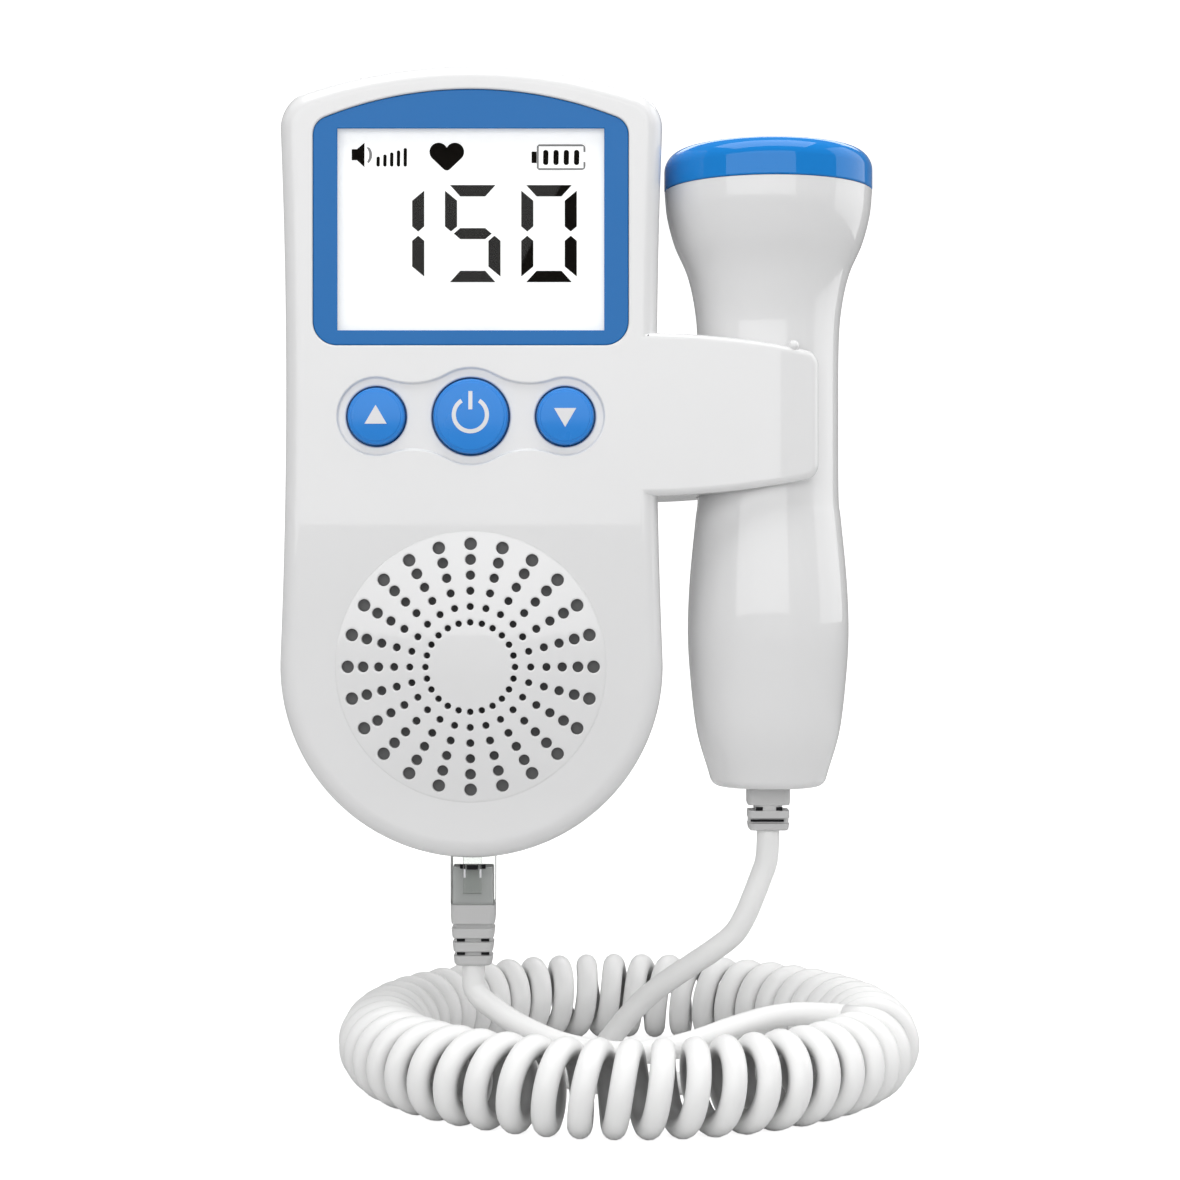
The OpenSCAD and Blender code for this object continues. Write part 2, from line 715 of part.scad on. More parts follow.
module key(x, r) color(key_blue) {
    tall = key_back - front_y + key_rise;
    face = r - key_bevel;
    crown_r = (face * face + key_crown * key_crown) / (2 * key_crown);
    crown = [for (i = [0:4]) let (a = asin(face / crown_r) * (1 - i / 4))
        [crown_r * sin(a), tall - crown_r * (1 - cos(a))]];
    turned([x, key_z], key_back, concat([[0, 0], [r - 0.6, 0], [r - 0.6, stem_t],
        [r + flange_lip, stem_t], [r + flange_lip, stem_t + flange_t], [r, stem_t + flange_t],
        [r, tall - key_crown - key_bevel]], crown));
}

module power_button() key(0, power_r);

module up_button() key(-key_pitch, side_key_r);

module down_button() key(key_pitch, side_key_r);

module button_mat() color(rubber) difference() {
    block([-mat_half, mat_y, key_z - mat_tall], [mat_half, board_y - touch, key_z + mat_tall]);
    block([-mat_half + mat_rim, mat_y + mat_t, key_z - mat_tall + mat_rim],
          [mat_half - mat_rim, board_y + cut, key_z + mat_tall - mat_rim]);
}

module key_switches() color(dark) for (x = [-key_pitch, 0, key_pitch]) {
    block([x - switch_half, board_y - switch_t, key_z - switch_half],
          [x + switch_half, board_y, key_z + switch_half]);
    rod([x, key_z], plunger_r, mat_y + mat_t + touch, board_y - switch_t + touch);
}

// ---------- board ----------

module main_board() color(green) {
    difference() {
        plate(board_y, board_y + board_t)
            polygon([for (p = [[-1, post_z - 5], [1, post_z - 5], [1, board_top - board_cut],
                [0.78, board_top], [-0.78, board_top], [-1, board_top - board_cut]])
                [p.x * board_half, p.y]]);
        for (p = screw_at) rod(p, boss_r + 0.2, board_y - cut, board_y + board_t + cut);
    }
    back = board_y + board_t - touch;
    block([-chip_half, back, window_z - chip_half], [chip_half, back + chip_t, window_z + chip_half]);
    block([2 * chip_half, back, key_z + chip_half],
          [3 * chip_half, back + chip_t, key_z + 2 * chip_half]);
    block([chip_half + chip_t, back, window_z + chip_half + chip_t],
          [3 * chip_half, back + plug_row_t, window_z + 2 * chip_half - 1]);
    for (m = [-1, 1]) rod([2 * m * chip_half, key_z - 2 * can_r], can_r, back, back + can_l);
}

module earphone_jack() color(dark) difference() {
    union() {
        block([-jack_wall + wall + 0.9, jack_y - jack_body / 2, jack_z - jack_body / 2],
              [-jack_wall + wall + 12, jack_y + jack_body / 2, jack_z + jack_body / 2]);
        translate([-jack_wall + 0.1, jack_y, jack_z]) rotate([0, 90, 0])
            cylinder(r = jack_nose, h = wall + 2);
    }
    translate([-jack_wall - cut, jack_y, jack_z]) rotate([0, 90, 0])
        cylinder(r = jack_r, h = jack_l + cut);
}

// ---------- loudspeaker ----------

module speaker_grille() color(white) difference() {
    tall = grille_t + grille_dome;
    ring = [for (k = [0:spoke_holes]) spoke_start + (k - 0.5) * spoke_step];
    turned([0, grille_z], front_y + grille_t, concat([[0, 0], [grille_r, 0], [grille_r, grille_t]],
        [for (k = [spoke_holes:-1:0]) [ring[k], tall - dome_r + sqrt(dome_r * dome_r - pow(ring[k], 2))]],
        [[0, tall]]));
    for (s = [0:spokes - 1], k = [0:spoke_holes - 1]) {
        a = 90 + s * 360 / spokes;
        r = spoke_start + k * spoke_step;
        d = hole_small + (hole_large - hole_small) * pow(k / (spoke_holes - 1), 1.5);
        translate([r * cos(a), front_y + grille_t + cut, grille_z + r * sin(a)])
            rotate([90, 0, 0]) cylinder(d = d, h = tall + 2 * cut, $fn = 20);
    }
}

module speaker_cloth() color(dark)
    rod([0, grille_z], grille_r - grille_seat - fit,
        front_y + grille_t + touch, front_y + grille_t + cloth_t);

module speaker_gasket() color(dark) difference() {
    rod([0, grille_z], speaker_r, gasket_y, gasket_y + gasket_t);
    rod([0, grille_z], speaker_r - gasket_in, gasket_y - cut, gasket_y + gasket_t + cut);
}

module speaker_driver() color(steel) {
    total = speaker_lip + basket_l + magnet_l;
    turned([0, grille_z], speaker_y + total, [[0, 0], [magnet_r - 0.6, 0], [magnet_r, 0.6],
        [magnet_r, magnet_l], [magnet_r + 2, magnet_l], [basket_r, magnet_l + basket_l],
        [speaker_r, magnet_l + basket_l], [speaker_r, total], [speaker_r - 2.4, total],
        [speaker_r - 4.5, total - 0.5], [8, total - 3.6], [7.4, total - 3.1], [4, total - 2.3],
        [0, total - 2]]);
}

// ---------- battery ----------

module cell() {
    cylinder(r = cell_r, h = cell_l - nub_l);
    cylinder(r = nub_r, h = cell_l);
}

module battery_cells() color([0.2, 0.2, 0.22]) {
    low = tub_low + plate_t + spring_l + touch;
    translate([cell_x, cell_y, low]) cell();
    translate([-cell_x, cell_y, low + cell_l]) rotate([180, 0, 0]) cell();
}

module battery_contacts() color(steel) for (m = [-1, 1]) {
    translate([m * cell_x, cell_y, tub_low]) {
        translate([0, 0, plate_t / 2])
            cube([2 * contact_half, 2 * contact_half, plate_t], center = true);
        translate([0, 0, plate_t - touch]) cylinder(r1 = 4, r2 = 2.8, h = spring_l + touch);
    }
    translate([m * cell_x, cell_y, tub_top - plate_t]) {
        translate([0, 0, plate_t / 2])
            cube([2 * contact_half, 2 * contact_half, plate_t], center = true);
        translate([0, 0, touch - dimple_l]) cylinder(r1 = 1.6, r2 = 2.4, h = dimple_l);
    }
}

// ---------- probe ----------

// A smooth curve through points, with n steps from each to the next
function curve(p, n) = concat([for (i = [0:len(p) - 2], j = [0:n - 1])
    let (a = p[max(i - 1, 0)], b = p[i], c = p[i + 1], d = p[min(i + 2, len(p) - 1)], t = j / n)
    0.5 * (2 * b + (c - a) * t + (2 * a - 5 * b + 4 * c - d) * t * t
        + (3 * b - a - 3 * c + d) * t * t * t)], [p[len(p) - 1]]);

module about_probe() {
    translate([probe_x, probe_y, 0]) children();
}

// The whole handle, before it is parted into a front and a rear half
module handle() {
    inside = [for (p = probe_profile) if (p.y > probe_low + probe_wall && p.y < seam_z - 5)
        [p.x - probe_wall, p.y]];
    about_probe() difference() {
        union() {
            rotate_extrude() polygon(concat([[0, probe_low]], [[foot_r - 2, probe_low]],
                curve(probe_profile, 3), [[0, seam_z - touch]]));
            cylinder_at(spigot_r - fit, seam_z - 4, seam_z + spigot_l);
        }
        rotate_extrude() polygon(concat([[0, probe_low + probe_wall]],
            [[foot_r - probe_wall, probe_low + probe_wall]], inside,
            [[spigot_r - spigot_w - fit, seam_z - 4.4],
             [spigot_r - spigot_w - fit, seam_z + spigot_l + cut],
             [0, seam_z + spigot_l + cut]]));
        cylinder_at(tail_neck + fit, probe_low - cut, probe_low + probe_wall + cut);
    }
}

// A cylinder on the local Z axis between two heights
module cylinder_at(r, z0, z1) {
    translate([0, 0, z0]) cylinder(r = r, h = z1 - z0);
}

module half_space(way) {
    far = 40;
    about_probe() translate([0, way * far / 2, 0]) cube([far, far, 300], center = true);
}

module probe_front_shell() color(white) intersection() {
    handle();
    half_space(-1);
}

module probe_rear_shell() color(white) intersection() {
    handle();
    half_space(1);
}

module probe_cap() color(key_blue) about_probe() {
    side_z = seam_z + cap_side;
    shoulder = [for (i = [0:5]) let (a = 80 * i / 5)
        [head_r - cap_round + cap_round * cos(a), side_z + cap_round * sin(a)]];
    rim = shoulder[5].x;
    top = seam_z + cap_h;
    face_r = rim / sin(10);
    face = [for (i = [1:5]) let (a = 10 * (1 - i / 5))
        [face_r * sin(a), top - face_r * (1 - cos(a))]];
    face_z = top - cap_face - 1.3;
    rotate_extrude() polygon(concat([[spigot_r, seam_z], [head_r - 0.15, seam_z],
        [head_r, seam_z + 0.15]], shoulder, face,
        [[0, face_z], [spigot_r - spigot_w, face_z], [spigot_r - spigot_w, seam_z + spigot_l + fit],
         [spigot_r, seam_z + spigot_l + fit]]));
}

crystal_z = seam_z + cap_h - cap_face - 1.3 - touch - crystal_t;

module crystal_holder() color(dark) about_probe() difference() {
    cylinder_at(spigot_r - spigot_w - fit - 0.2, crystal_z - holder_l, crystal_z - touch);
    cylinder_at(8, crystal_z - holder_l - cut, crystal_z - 2);
}

module transducer_crystals() color(steel) about_probe() for (way = [-1, 1]) intersection() {
    cylinder_at(crystal_r, crystal_z, crystal_z + crystal_t);
    translate([0, way * (crystal_r + crystal_gap / 2), crystal_z])
        cube([2 * crystal_r, 2 * crystal_r, 2 * crystal_t + cut], center = true);
}

module probe_board() color(green) about_probe()
    block([-probe_board_half, -probe_board_t / 2, probe_board_z[0]],
          [probe_board_half, probe_board_t / 2, probe_board_z[1]]);

module probe_strain_relief() color(white) about_probe() difference() {
    union() {
        low = [for (p = round_box(tail_w / 2 - 0.3, tail_t / 2 - 0.3, 1)) [p.x, p.y, tail_end]];
        high = [for (p = round_box(tail_w / 2, tail_t / 2, 1)) [p.x, p.y, probe_low - touch]];
        skin([high, low]);
        cylinder_at(tail_neck, probe_low - tail_l / 2, probe_low + probe_wall + 1);
        cylinder_at(4.5, probe_low + probe_wall + touch, probe_low + probe_wall + 1.4);
    }
    for (m = [-1, 1]) {
        translate([m * tail_w / 2, 0, tail_end + 3.6]) cube([2.6, tail_t + cut, 0.8], center = true);
        translate([0, m * tail_t / 2, tail_end + 1.7]) cube([tail_w - 0.9, 2, 0.7], center = true);
    }
}

// ---------- plug and socket ----------

module cord_socket() color(dark) difference() {
    block([-socket_half, socket_front, socket_low], [socket_half, socket_back, socket_top]);
    block([-plug_w / 2 - plug_play, plug_y - plug_t / 2 - plug_play, socket_low - cut],
          [plug_w / 2 + plug_play, plug_y + plug_t / 2 + plug_play, plug_top + 0.3]);
    block([-2.2, plug_y - plug_t / 2 - latch_t - 2 * plug_play, socket_low - cut],
          [2.2, plug_y, plug_top + 0.3]);
}

module plug_body() color(clear) difference() {
    front = plug_y - plug_t / 2;
    union() {
        block([-plug_w / 2, front, plug_low], [plug_w / 2, plug_y + plug_t / 2, plug_top]);
        translate([-1.6, 0, 0]) rotate([90, 0, 90]) linear_extrude(3.2)
            polygon([[front + 0.5, plug_top - 0.6], [front - 0.5, plug_top - 2],
                [front - latch_t, plug_low + 4.4], [front - latch_t, plug_low + 3],
                [front - latch_t + 0.7, plug_low + 3], [front - 0.1, plug_top - 4.5],
                [front + 0.5, plug_top - 4.5]]);
    }
    for (m = [-1, 1]) block([m * 1.9 - 0.3, front - cut, plug_low + 2.2],
                            [m * 1.9 + 0.3, front + 1, plug_low + 6.6]);
    for (i = [0:blade_n - 1]) {
        x = (i - (blade_n - 1) / 2) * blade_step;
        block([x - blade_t / 2 - touch, plug_y + plug_t / 2 - 2, plug_top - blade_l - 0.6],
              [x + blade_t / 2 + touch, plug_y + plug_t / 2 + cut, plug_top + cut]);
    }
}

module plug_contacts() color(gold) for (i = [0:blade_n - 1]) {
    x = (i - (blade_n - 1) / 2) * blade_step;
    block([x - blade_t / 2, plug_y + plug_t / 2 - 2 + touch, plug_top - blade_l - 0.5],
          [x + blade_t / 2, plug_y + plug_t / 2 - 0.4, plug_top - 0.4]);
}

module plug_boot() color(rubber) translate([0, plug_y, 0]) difference() {
    skin([for (s = [[0, 0, 1], [0.2, 0, 1], [0.75, 0.45, 1], [1, 0.65, 1.2]])
        [for (p = round_box(plug_w / 2 - s[1], plug_t / 2 - s[1], s[2]))
            [p.x, p.y, plug_low - touch - s[0] * boot_l]]]);
    for (i = [0:2], m = [-1, 1])
        translate([0, m * plug_t / 2, plug_low - boot_l + groove_end + i * groove_step])
            cube([plug_w - 2.4, 2.2, 0.7], center = true);
}

// ---------- cord ----------

function unit(v) = v / norm(v);

function along(p, i) = unit(p[min(i + 1, len(p) - 1)] - p[max(i - 1, 0)]);

function square_to(u, t) = unit(u - (u * t) * t);

// A side direction for each point of a path, carried along without twisting
function carried(p, u0) = [for (i = 0, u = square_to(u0, along(p, 0)); i < len(p);
    i = i + 1, u = square_to(u, along(p, min(i, len(p) - 1)))) u];

// A tube of radius r through the points of a path, with a side direction for each
module tube(p, u, r, sides) {
    skin([for (i = [0:len(p) - 1]) let (t = along(p, i), w = cross(t, u[i]))
        [for (k = [sides - 1:-1:0]) let (a = 360 * k / sides) p[i] + r * (cos(a) * u[i] + sin(a) * w)]]);
}

// The middle of the curly cord at i eighths of a curl from its start
function curl_point(i) =
    let (a = curl_start - curl_turn * i / curl_rings, f = 90 - 360 * i / curl_rings,
         r = ring_r + curl_r * cos(f))
    ring_at + [r * cos(a), r * sin(a), curl_od / 2 + curl_r * sin(f)];

// Which way points outwards in a curl there
function curl_side(i) =
    let (a = curl_start - curl_turn * i / curl_rings, f = 90 - 360 * i / curl_rings)
    [cos(f) * cos(a), cos(f) * sin(a), sin(f)];

curl_last = round(curls * curl_rings);
fine = 0.01;
curl_way_in = unit(curl_point(fine) - curl_point(-fine));
curl_way_out = unit(curl_point(curl_last + fine) - curl_point(curl_last - fine));
curl_in = curl_point(0) - straight * curl_way_in;
curl_out = curl_point(curl_last) + straight * curl_way_out;
curl_path = concat([curl_in], [for (i = [0:curl_last]) curl_point(i)], [curl_out]);
curl_sides_list = concat([curl_side(0)], [for (i = [0:curl_last]) curl_side(i)],
    [curl_side(curl_last)]);

// Least distance from point q to the piece from a to b
function to_piece(q, a, b) =
    let (t = max(0, min(1, (q - a) * (b - a) / ((b - a) * (b - a))))) norm(q - a - t * (b - a));
curl_gap = min([for (i = [0:curl_last - curl_rings - 4], k = [curl_rings - 3:curl_rings + 2])
    to_piece(curl_point(i), curl_point(i + k), curl_point(i + k + 1))]) - cord_d;
echo(least_gap_between_curls_mm = curl_gap);

plug_path = concat([[0, plug_y, boot_end - touch], [0, plug_y, boot_end - straight / 2]],
    [for (p = plug_route) ring_at + p], [curl_in - straight * curl_way_in, curl_in]);
probe_path = concat([[probe_x, probe_y, tail_end - touch],
    [probe_x, probe_y, tail_end - straight / 2]], [for (p = probe_route) ring_at + p],
    [curl_out + straight * curl_way_out, curl_out]);

module plug_lead() color(white) tube(plug_path, carried(plug_path, [0, 1, 0]), cord_d / 2, lead_sides);

module curly_cord() color(white) tube(curl_path, curl_sides_list, cord_d / 2, curl_sides);

module probe_lead() color(white)
    tube(probe_path, carried(probe_path, [0, 1, 0]), cord_d / 2, lead_sides);

front_cover();
rear_cover();
battery_door();
screen_bezel();
screen_lens();
lcd_panel();
lcd_backlight();
power_button();
up_button();
down_button();
button_mat();
key_switches();
main_board();
speaker_grille();
speaker_cloth();
speaker_gasket();
speaker_driver();
battery_cells();
battery_contacts();
cord_socket();
earphone_jack();
housing_screws();
probe_front_shell();
probe_rear_shell();
probe_cap();
crystal_holder();
transducer_crystals();
probe_board();
probe_strain_relief();
plug_body();
plug_contacts();
plug_boot();
plug_lead();
curly_cord();
probe_lead();
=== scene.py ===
"""Visual model of a fetal doppler monitor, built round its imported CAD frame.

Lengths inside the functions are in millimetres, in the frame of the CAD part: X to the right,
Y from front to back, Z up, with the origin on the flat back of the housing.
"""

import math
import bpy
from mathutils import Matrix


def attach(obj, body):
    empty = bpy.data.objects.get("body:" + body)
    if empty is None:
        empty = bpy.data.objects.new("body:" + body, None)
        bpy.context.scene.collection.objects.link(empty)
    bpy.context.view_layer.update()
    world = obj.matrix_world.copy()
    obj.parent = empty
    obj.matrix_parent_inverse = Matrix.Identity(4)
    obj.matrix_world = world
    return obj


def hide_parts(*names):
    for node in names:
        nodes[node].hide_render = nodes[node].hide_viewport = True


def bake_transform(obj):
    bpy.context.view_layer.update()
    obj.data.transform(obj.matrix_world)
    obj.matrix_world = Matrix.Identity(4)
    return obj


bl_info = {
    "name": "Fetal doppler monitor",
    "version": (1, 0, 0),
    "blender": (4, 5, 0),
    "location": "View3D > Sidebar > Monitor",
    "description": "Builds the monitor's visible pieces, its cord and the studio",
    "category": "Object",
}

import bmesh
import bpy
from mathutils import Vector

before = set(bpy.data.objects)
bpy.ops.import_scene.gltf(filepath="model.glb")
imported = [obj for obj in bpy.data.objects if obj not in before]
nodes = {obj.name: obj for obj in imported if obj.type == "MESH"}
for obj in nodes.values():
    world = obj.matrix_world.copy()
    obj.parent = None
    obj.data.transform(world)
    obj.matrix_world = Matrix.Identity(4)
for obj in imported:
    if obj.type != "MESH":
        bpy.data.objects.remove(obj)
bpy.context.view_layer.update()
MM = 0.001


# ---------- sizes and colours that a user may change ----------


def length_prop(name, description, default):
    """A length in metres, shown in the scene's unit."""
    return bpy.props.FloatProperty(
        name=name, description=description, default=default, min=0.0, unit="LENGTH", precision=4
    )


def colour_prop(name, description, default):
    """A colour without alpha."""
    return bpy.props.FloatVectorProperty(
        name=name, description=description, default=default, size=3, min=0, max=1, subtype="COLOR"
    )


def power_prop(name, description, default):
    """The power of a light in watts."""
    return bpy.props.FloatProperty(
        name=name, description=description, default=default, unit="POWER"
    )


class MonitorHousing(bpy.types.PropertyGroup):
    height: length_prop("Height", "Height of the housing", 0.135)
    width: length_prop("Width", "Width across the round bottom", 0.0652)
    depth: length_prop("Depth", "Depth from front face to back face", 0.034)
    front_depth: length_prop("Front depth", "Depth of the front shell", 0.019)
    front_edge: length_prop("Front edge", "Rounding of the front edge", 0.0032)
    back_edge: length_prop("Back edge", "Rounding of the back edge", 0.005)
    soft_edge: length_prop("Soft edge", "Rounding of the moulded edges", 0.0003)
    shell: colour_prop("Shell", "Colour of the housing and probe", (0.8, 0.8, 0.803))
    bezel: colour_prop("Frame", "Colour of the screen's frame", (0.004, 0.148, 0.45))
    key: colour_prop("Keys", "Colour of the keys", (0.018, 0.235, 0.72))
    cap: colour_prop("Cap", "Colour of the probe's cap", (0.004, 0.21, 0.63))


class MonitorCord(bpy.types.PropertyGroup):
    diameter: length_prop("Diameter", "Diameter of the cord", 0.004)
    curl: length_prop("Curl", "Outer diameter of a curl", 0.016)
    ring: length_prop("Ring", "Radius of the ring in which the curls lie", 0.043)
    curls: bpy.props.FloatProperty(
        name="Curls", description="Number of curls", default=49.5, min=10, max=80
    )
    colour: colour_prop("Cord", "Colour of the cord", (0.94, 0.94, 0.935))


class MonitorStudio(bpy.types.PropertyGroup):
    focal: bpy.props.FloatProperty(
        name="Focal length", description="Lens of the camera", default=71.57, unit="CAMERA"
    )
    floor: colour_prop("Floor", "Colour of the floor and backdrop", (0.6, 0.6, 0.6))
    key_power: power_prop("Key light", "Power of the main softbox", 2.02)
    fill_power: power_prop("Fill light", "Power of the side softboxes", 0.9)
    top_power: power_prop("Top light", "Power of the softbox overhead", 1.65)
    back_power: power_prop("Back light", "Power of the softbox behind", 0.7)
    glow: bpy.props.FloatProperty(
        name="Glow", description="How far the paper is lit up for the camera", default=0.85, min=0
    )
    sky: bpy.props.FloatProperty(
        name="Sky", description="Strength of the even light", default=0.37, min=0
    )


def housing_props():
    return bpy.context.scene.monitor_housing


def cord_props():
    return bpy.context.scene.monitor_cord


# ---------- outlines ----------


def polar(c, r, a):
    return (c[0] + r * math.cos(math.radians(a)), c[1] + r * math.sin(math.radians(a)))


def arc(c, r, a0, a1, n):
    """n points of an arc, without its last one."""
    return [polar(c, r, a0 + (a1 - a0) * i / n) for i in range(n)]


def both_sides(half):
    """A right-hand half outline with its mirror image."""
    return half + [(-x, z) for x, z in reversed(half[1:-1])]


def meet(a, ra, b, rb):
    """Where two circles meet, on the right-hand side when going from a to b."""
    d = math.dist(a, b)
    u = ((b[0] - a[0]) / d, (b[1] - a[1]) / d)
    t = (d * d + ra * ra - rb * rb) / (2 * d)
    h = math.sqrt(ra * ra - t * t)
    return (a[0] + t * u[0] + h * u[1], a[1] + t * u[1] - h * u[0])


def angle_to(a, b):
    return math.degrees(math.atan2(b[1] - a[1], b[0] - a[0]))


class Housing:
    """The arcs of the housing's outline."""

    waist_in, waist_z, arch_r, corner_r = 1.0, 12.0, 88.7, 6.6

    def __init__(self):
        p = housing_props()
        self.h, self.w, self.d = p.height / MM, p.width / MM, p.depth / MM
        self.end_r = self.w / 2
        self.end_c = (0, self.end_r - self.h / 2)
        half = self.end_r - self.waist_in
        rise = self.waist_z - self.end_c[1]
        self.side_r = (rise**2 + half**2 - self.end_r**2) / (2 * self.waist_in)
        self.side_c = (half + self.side_r, self.waist_z)
        self.arch_c = (0, self.h / 2 - self.arch_r)
        self.corner_c = meet(
            self.side_c, self.side_r + self.corner_r, self.arch_c, self.arch_r - self.corner_r
        )
        self.front_y = -self.d
        self.split_y = -self.d + p.front_depth / MM

    def line(self, d, k=4):
        """The outline in X and Z, drawn in by d."""
        side_a = angle_to(self.end_c, self.side_c)
        corner_a = angle_to(self.corner_c, self.side_c)
        arch_a = angle_to(self.arch_c, self.corner_c)
        return both_sides(
            arc(self.end_c, self.end_r - d, -90, side_a, 14 * k)
            + arc(self.side_c, self.side_r + d, 180 + side_a, 180 + corner_a, 5 * k)
            + arc(self.corner_c, self.corner_r - d, corner_a, arch_a, 6 * k)
            + arc(self.arch_c, self.arch_r - d, arch_a, 90, 6 * k)
            + [(0, self.h / 2 - d)]
        )


def frame_line(d, k=3):
    """The blue frame's outline, drawn in by d."""
    half, low, top, arch, corner, tip_r = 26.7, 19.6, 62.9, 67.0, 4.0, 3.2
    arch_c = (0, top - arch)
    tip_x = half - tip_r
    tip = (tip_x, arch_c[1] + math.sqrt((arch - tip_r) ** 2 - tip_x**2))
    tip_a = angle_to(arch_c, tip)
    return both_sides(
        [(0, low + d)]
        + arc((half - corner, low + corner), corner - d, -90, 0, 6 * k)
        + [(half - d, low + corner)]
        + arc(tip, tip_r - d, 0, tip_a, 5 * k)
        + arc(arch_c, arch - d, tip_a, 90, 8 * k)
        + [(0, top - d)]
    )


CLIP_Z, CLIP_ROOT, CLIP_ARC, CLIP_HALF, CLIP_TIP, CLIP_CORNER = 7.9, 28.0, 147.0, 13.9, 59.1, 2.6
CLIP_BORE, CLIP_STRIPS = 12.65, 5
PROBE = (51.5, -18.4)
SCREEN_Z, KEY_Z, KEY_PITCH = 39.2, 7.5, 16.0


def clip_line(d, k=3):
    """The clip's outline, drawn in by d, from lower left round the tip to upper left."""
    drop = CLIP_ARC - CLIP_HALF
    x = CLIP_TIP - CLIP_CORNER - CLIP_ROOT
    tip = (CLIP_ROOT + x, math.sqrt((CLIP_ARC - CLIP_CORNER) ** 2 - x * x) - drop)
    a = angle_to((CLIP_ROOT, -drop), tip)
    upper = (
        arc((CLIP_ROOT, -drop), CLIP_ARC - d, 90, a, 8 * k)
        + arc(tip, CLIP_CORNER - d, a, 0, 4 * k)
        + [(CLIP_TIP - d, tip[1])]
    )
    return [(x, CLIP_Z - z) for x, z in upper] + [(x, CLIP_Z + z) for x, z in reversed(upper)]


def round_box(a, b, r, k=6):
    """A rounded rectangle of half sizes a and b."""
    corners = [(a - r, b - r), (r - a, b - r), (r - a, r - b), (a - r, r - b)]
    return [polar(c, r, 90 * (q + i / k)) for q, c in enumerate(corners) for i in range(k + 1)]


def rect(x0, z0, x1, z1):
    return [(x0, z0), (x1, z0), (x1, z1), (x0, z1)]


def screen_rect(half_w, half_h):
    """A rectangle about the middle of the screen."""
    return rect(-half_w, SCREEN_Z - half_h, half_w, SCREEN_Z + half_h)


def edge_steps(r, n=8):
    """Steps of a rounded edge: how far behind the face, and how far in from the side."""
    angles = [math.pi / 2 * i / n for i in range(n + 1)]
    return [(r * (1 - math.cos(a)), r * (1 - math.sin(a))) for a in angles]


# ---------- meshes ----------


def add_object(name, data):
    obj = bpy.data.objects.new(name, data)
    bpy.context.scene.collection.objects.link(obj)
    return obj


def mesh_of(name, verts, faces):
    """A new object with outward normals, from points in millimetres."""
    mesh = bpy.data.meshes.new(name)
    mesh.from_pydata([Vector(v) * MM for v in verts], [], faces)
    return tidy(add_object(name, mesh), 0)


def tidy(obj, weld):
    """Turns the normals outwards, after joining points closer than weld millimetres."""
    bm = bmesh.new()
    bm.from_mesh(obj.data)
    if weld:
        bmesh.ops.remove_doubles(bm, verts=bm.verts, dist=weld * MM)
    bmesh.ops.recalc_face_normals(bm, faces=bm.faces)
    bm.to_mesh(obj.data)
    bm.free()
    return obj


def walls(n, m):
    """The side faces of m rings of n points each."""
    return [
        (j * n + i, j * n + (i + 1) % n, (j + 1) * n + (i + 1) % n, (j + 1) * n + i)
        for j in range(m - 1)
        for i in range(n)
    ]


def loft(name, rings):
    """A closed skin through rings of equal length."""
    n, m = len(rings[0]), len(rings)
    caps = [tuple(range(n)), tuple(range((m - 1) * n, m * n))]
    return mesh_of(name, [p for ring in rings for p in ring], walls(n, m) + caps)


def at_depth(line, y):
    return [(x, y, z) for x, z in line]


def prism(line, y0, y1, name="prism"):
    return loft(name, [at_depth(line, y0), at_depth(line, y1)])


def raised(name, outlines, front, back, closed=True):
    """Small raised signs; front and back place a point of an outline."""
    verts, faces = [], []
    for line in outlines:
        first, n = len(verts), len(line)
        verts += [front(*p) for p in line] + [back(*p) for p in line]
        faces.append(tuple(range(first, first + n)))
        if closed:
            faces.append(tuple(range(first + n, first + 2 * n)))
        faces += [tuple(first + i for i in face) for face in walls(n, 2)]
    return mesh_of(name, verts, faces)


def block(low, high, name="block"):
    return prism(rect(low[0], low[2], high[0], high[2]), low[1], high[1], name)


def rod(x, z, r, y0, y1, n=96):
    return prism(arc((x, z), r, 0, 360, n), y0, y1, "rod")


def skin(rows, closed):
    """Faces between rows of point numbers, where a row may be a single point."""
    faces = []
    for low, high in zip(rows, rows[1:]):
        n = max(len(low), len(high))
        for i in range(n if closed else n - 1):
            k = (i + 1) % n
            quad = [low[i % len(low)], low[k % len(low)], high[k % len(high)], high[i % len(high)]]
            face = tuple(dict.fromkeys(quad))
            if len(face) > 2:
                faces.append(face)
    return faces


def revolve(name, profile, n=128, at=(0, 0), axis="Z"):
    """A profile of (radius, height) turned about Z, or about Y with heights towards the front."""
    verts, rows = [], []
    for r, h in profile:
        row = []
        for i in range(n if r > 1e-6 else 1):
            a, b = polar(at, r, 360 * i / n)
            row.append(len(verts))
            verts.append((a, b, h) if axis == "Z" else (a, -h, b))
        rows.append(row)
    return mesh_of(name, verts, skin(rows, True))


def combine(obj, *steps):
    """Joins or cuts obj with other solids, which are then removed."""
    for operation, other in steps:
        step = obj.modifiers.new(operation, "BOOLEAN")
        step.operation, step.object, step.solver = operation, other, "EXACT"
    bake(obj)
    for _, other in steps:
        bpy.data.objects.remove(other)
    return tidy(obj, 0.002)


def bake(obj):
    """Applies the modifiers."""
    graph = bpy.context.evaluated_depsgraph_get()
    mesh = bpy.data.meshes.new_from_object(obj.evaluated_get(graph))
    obj.modifiers.clear()
    obj.data = mesh


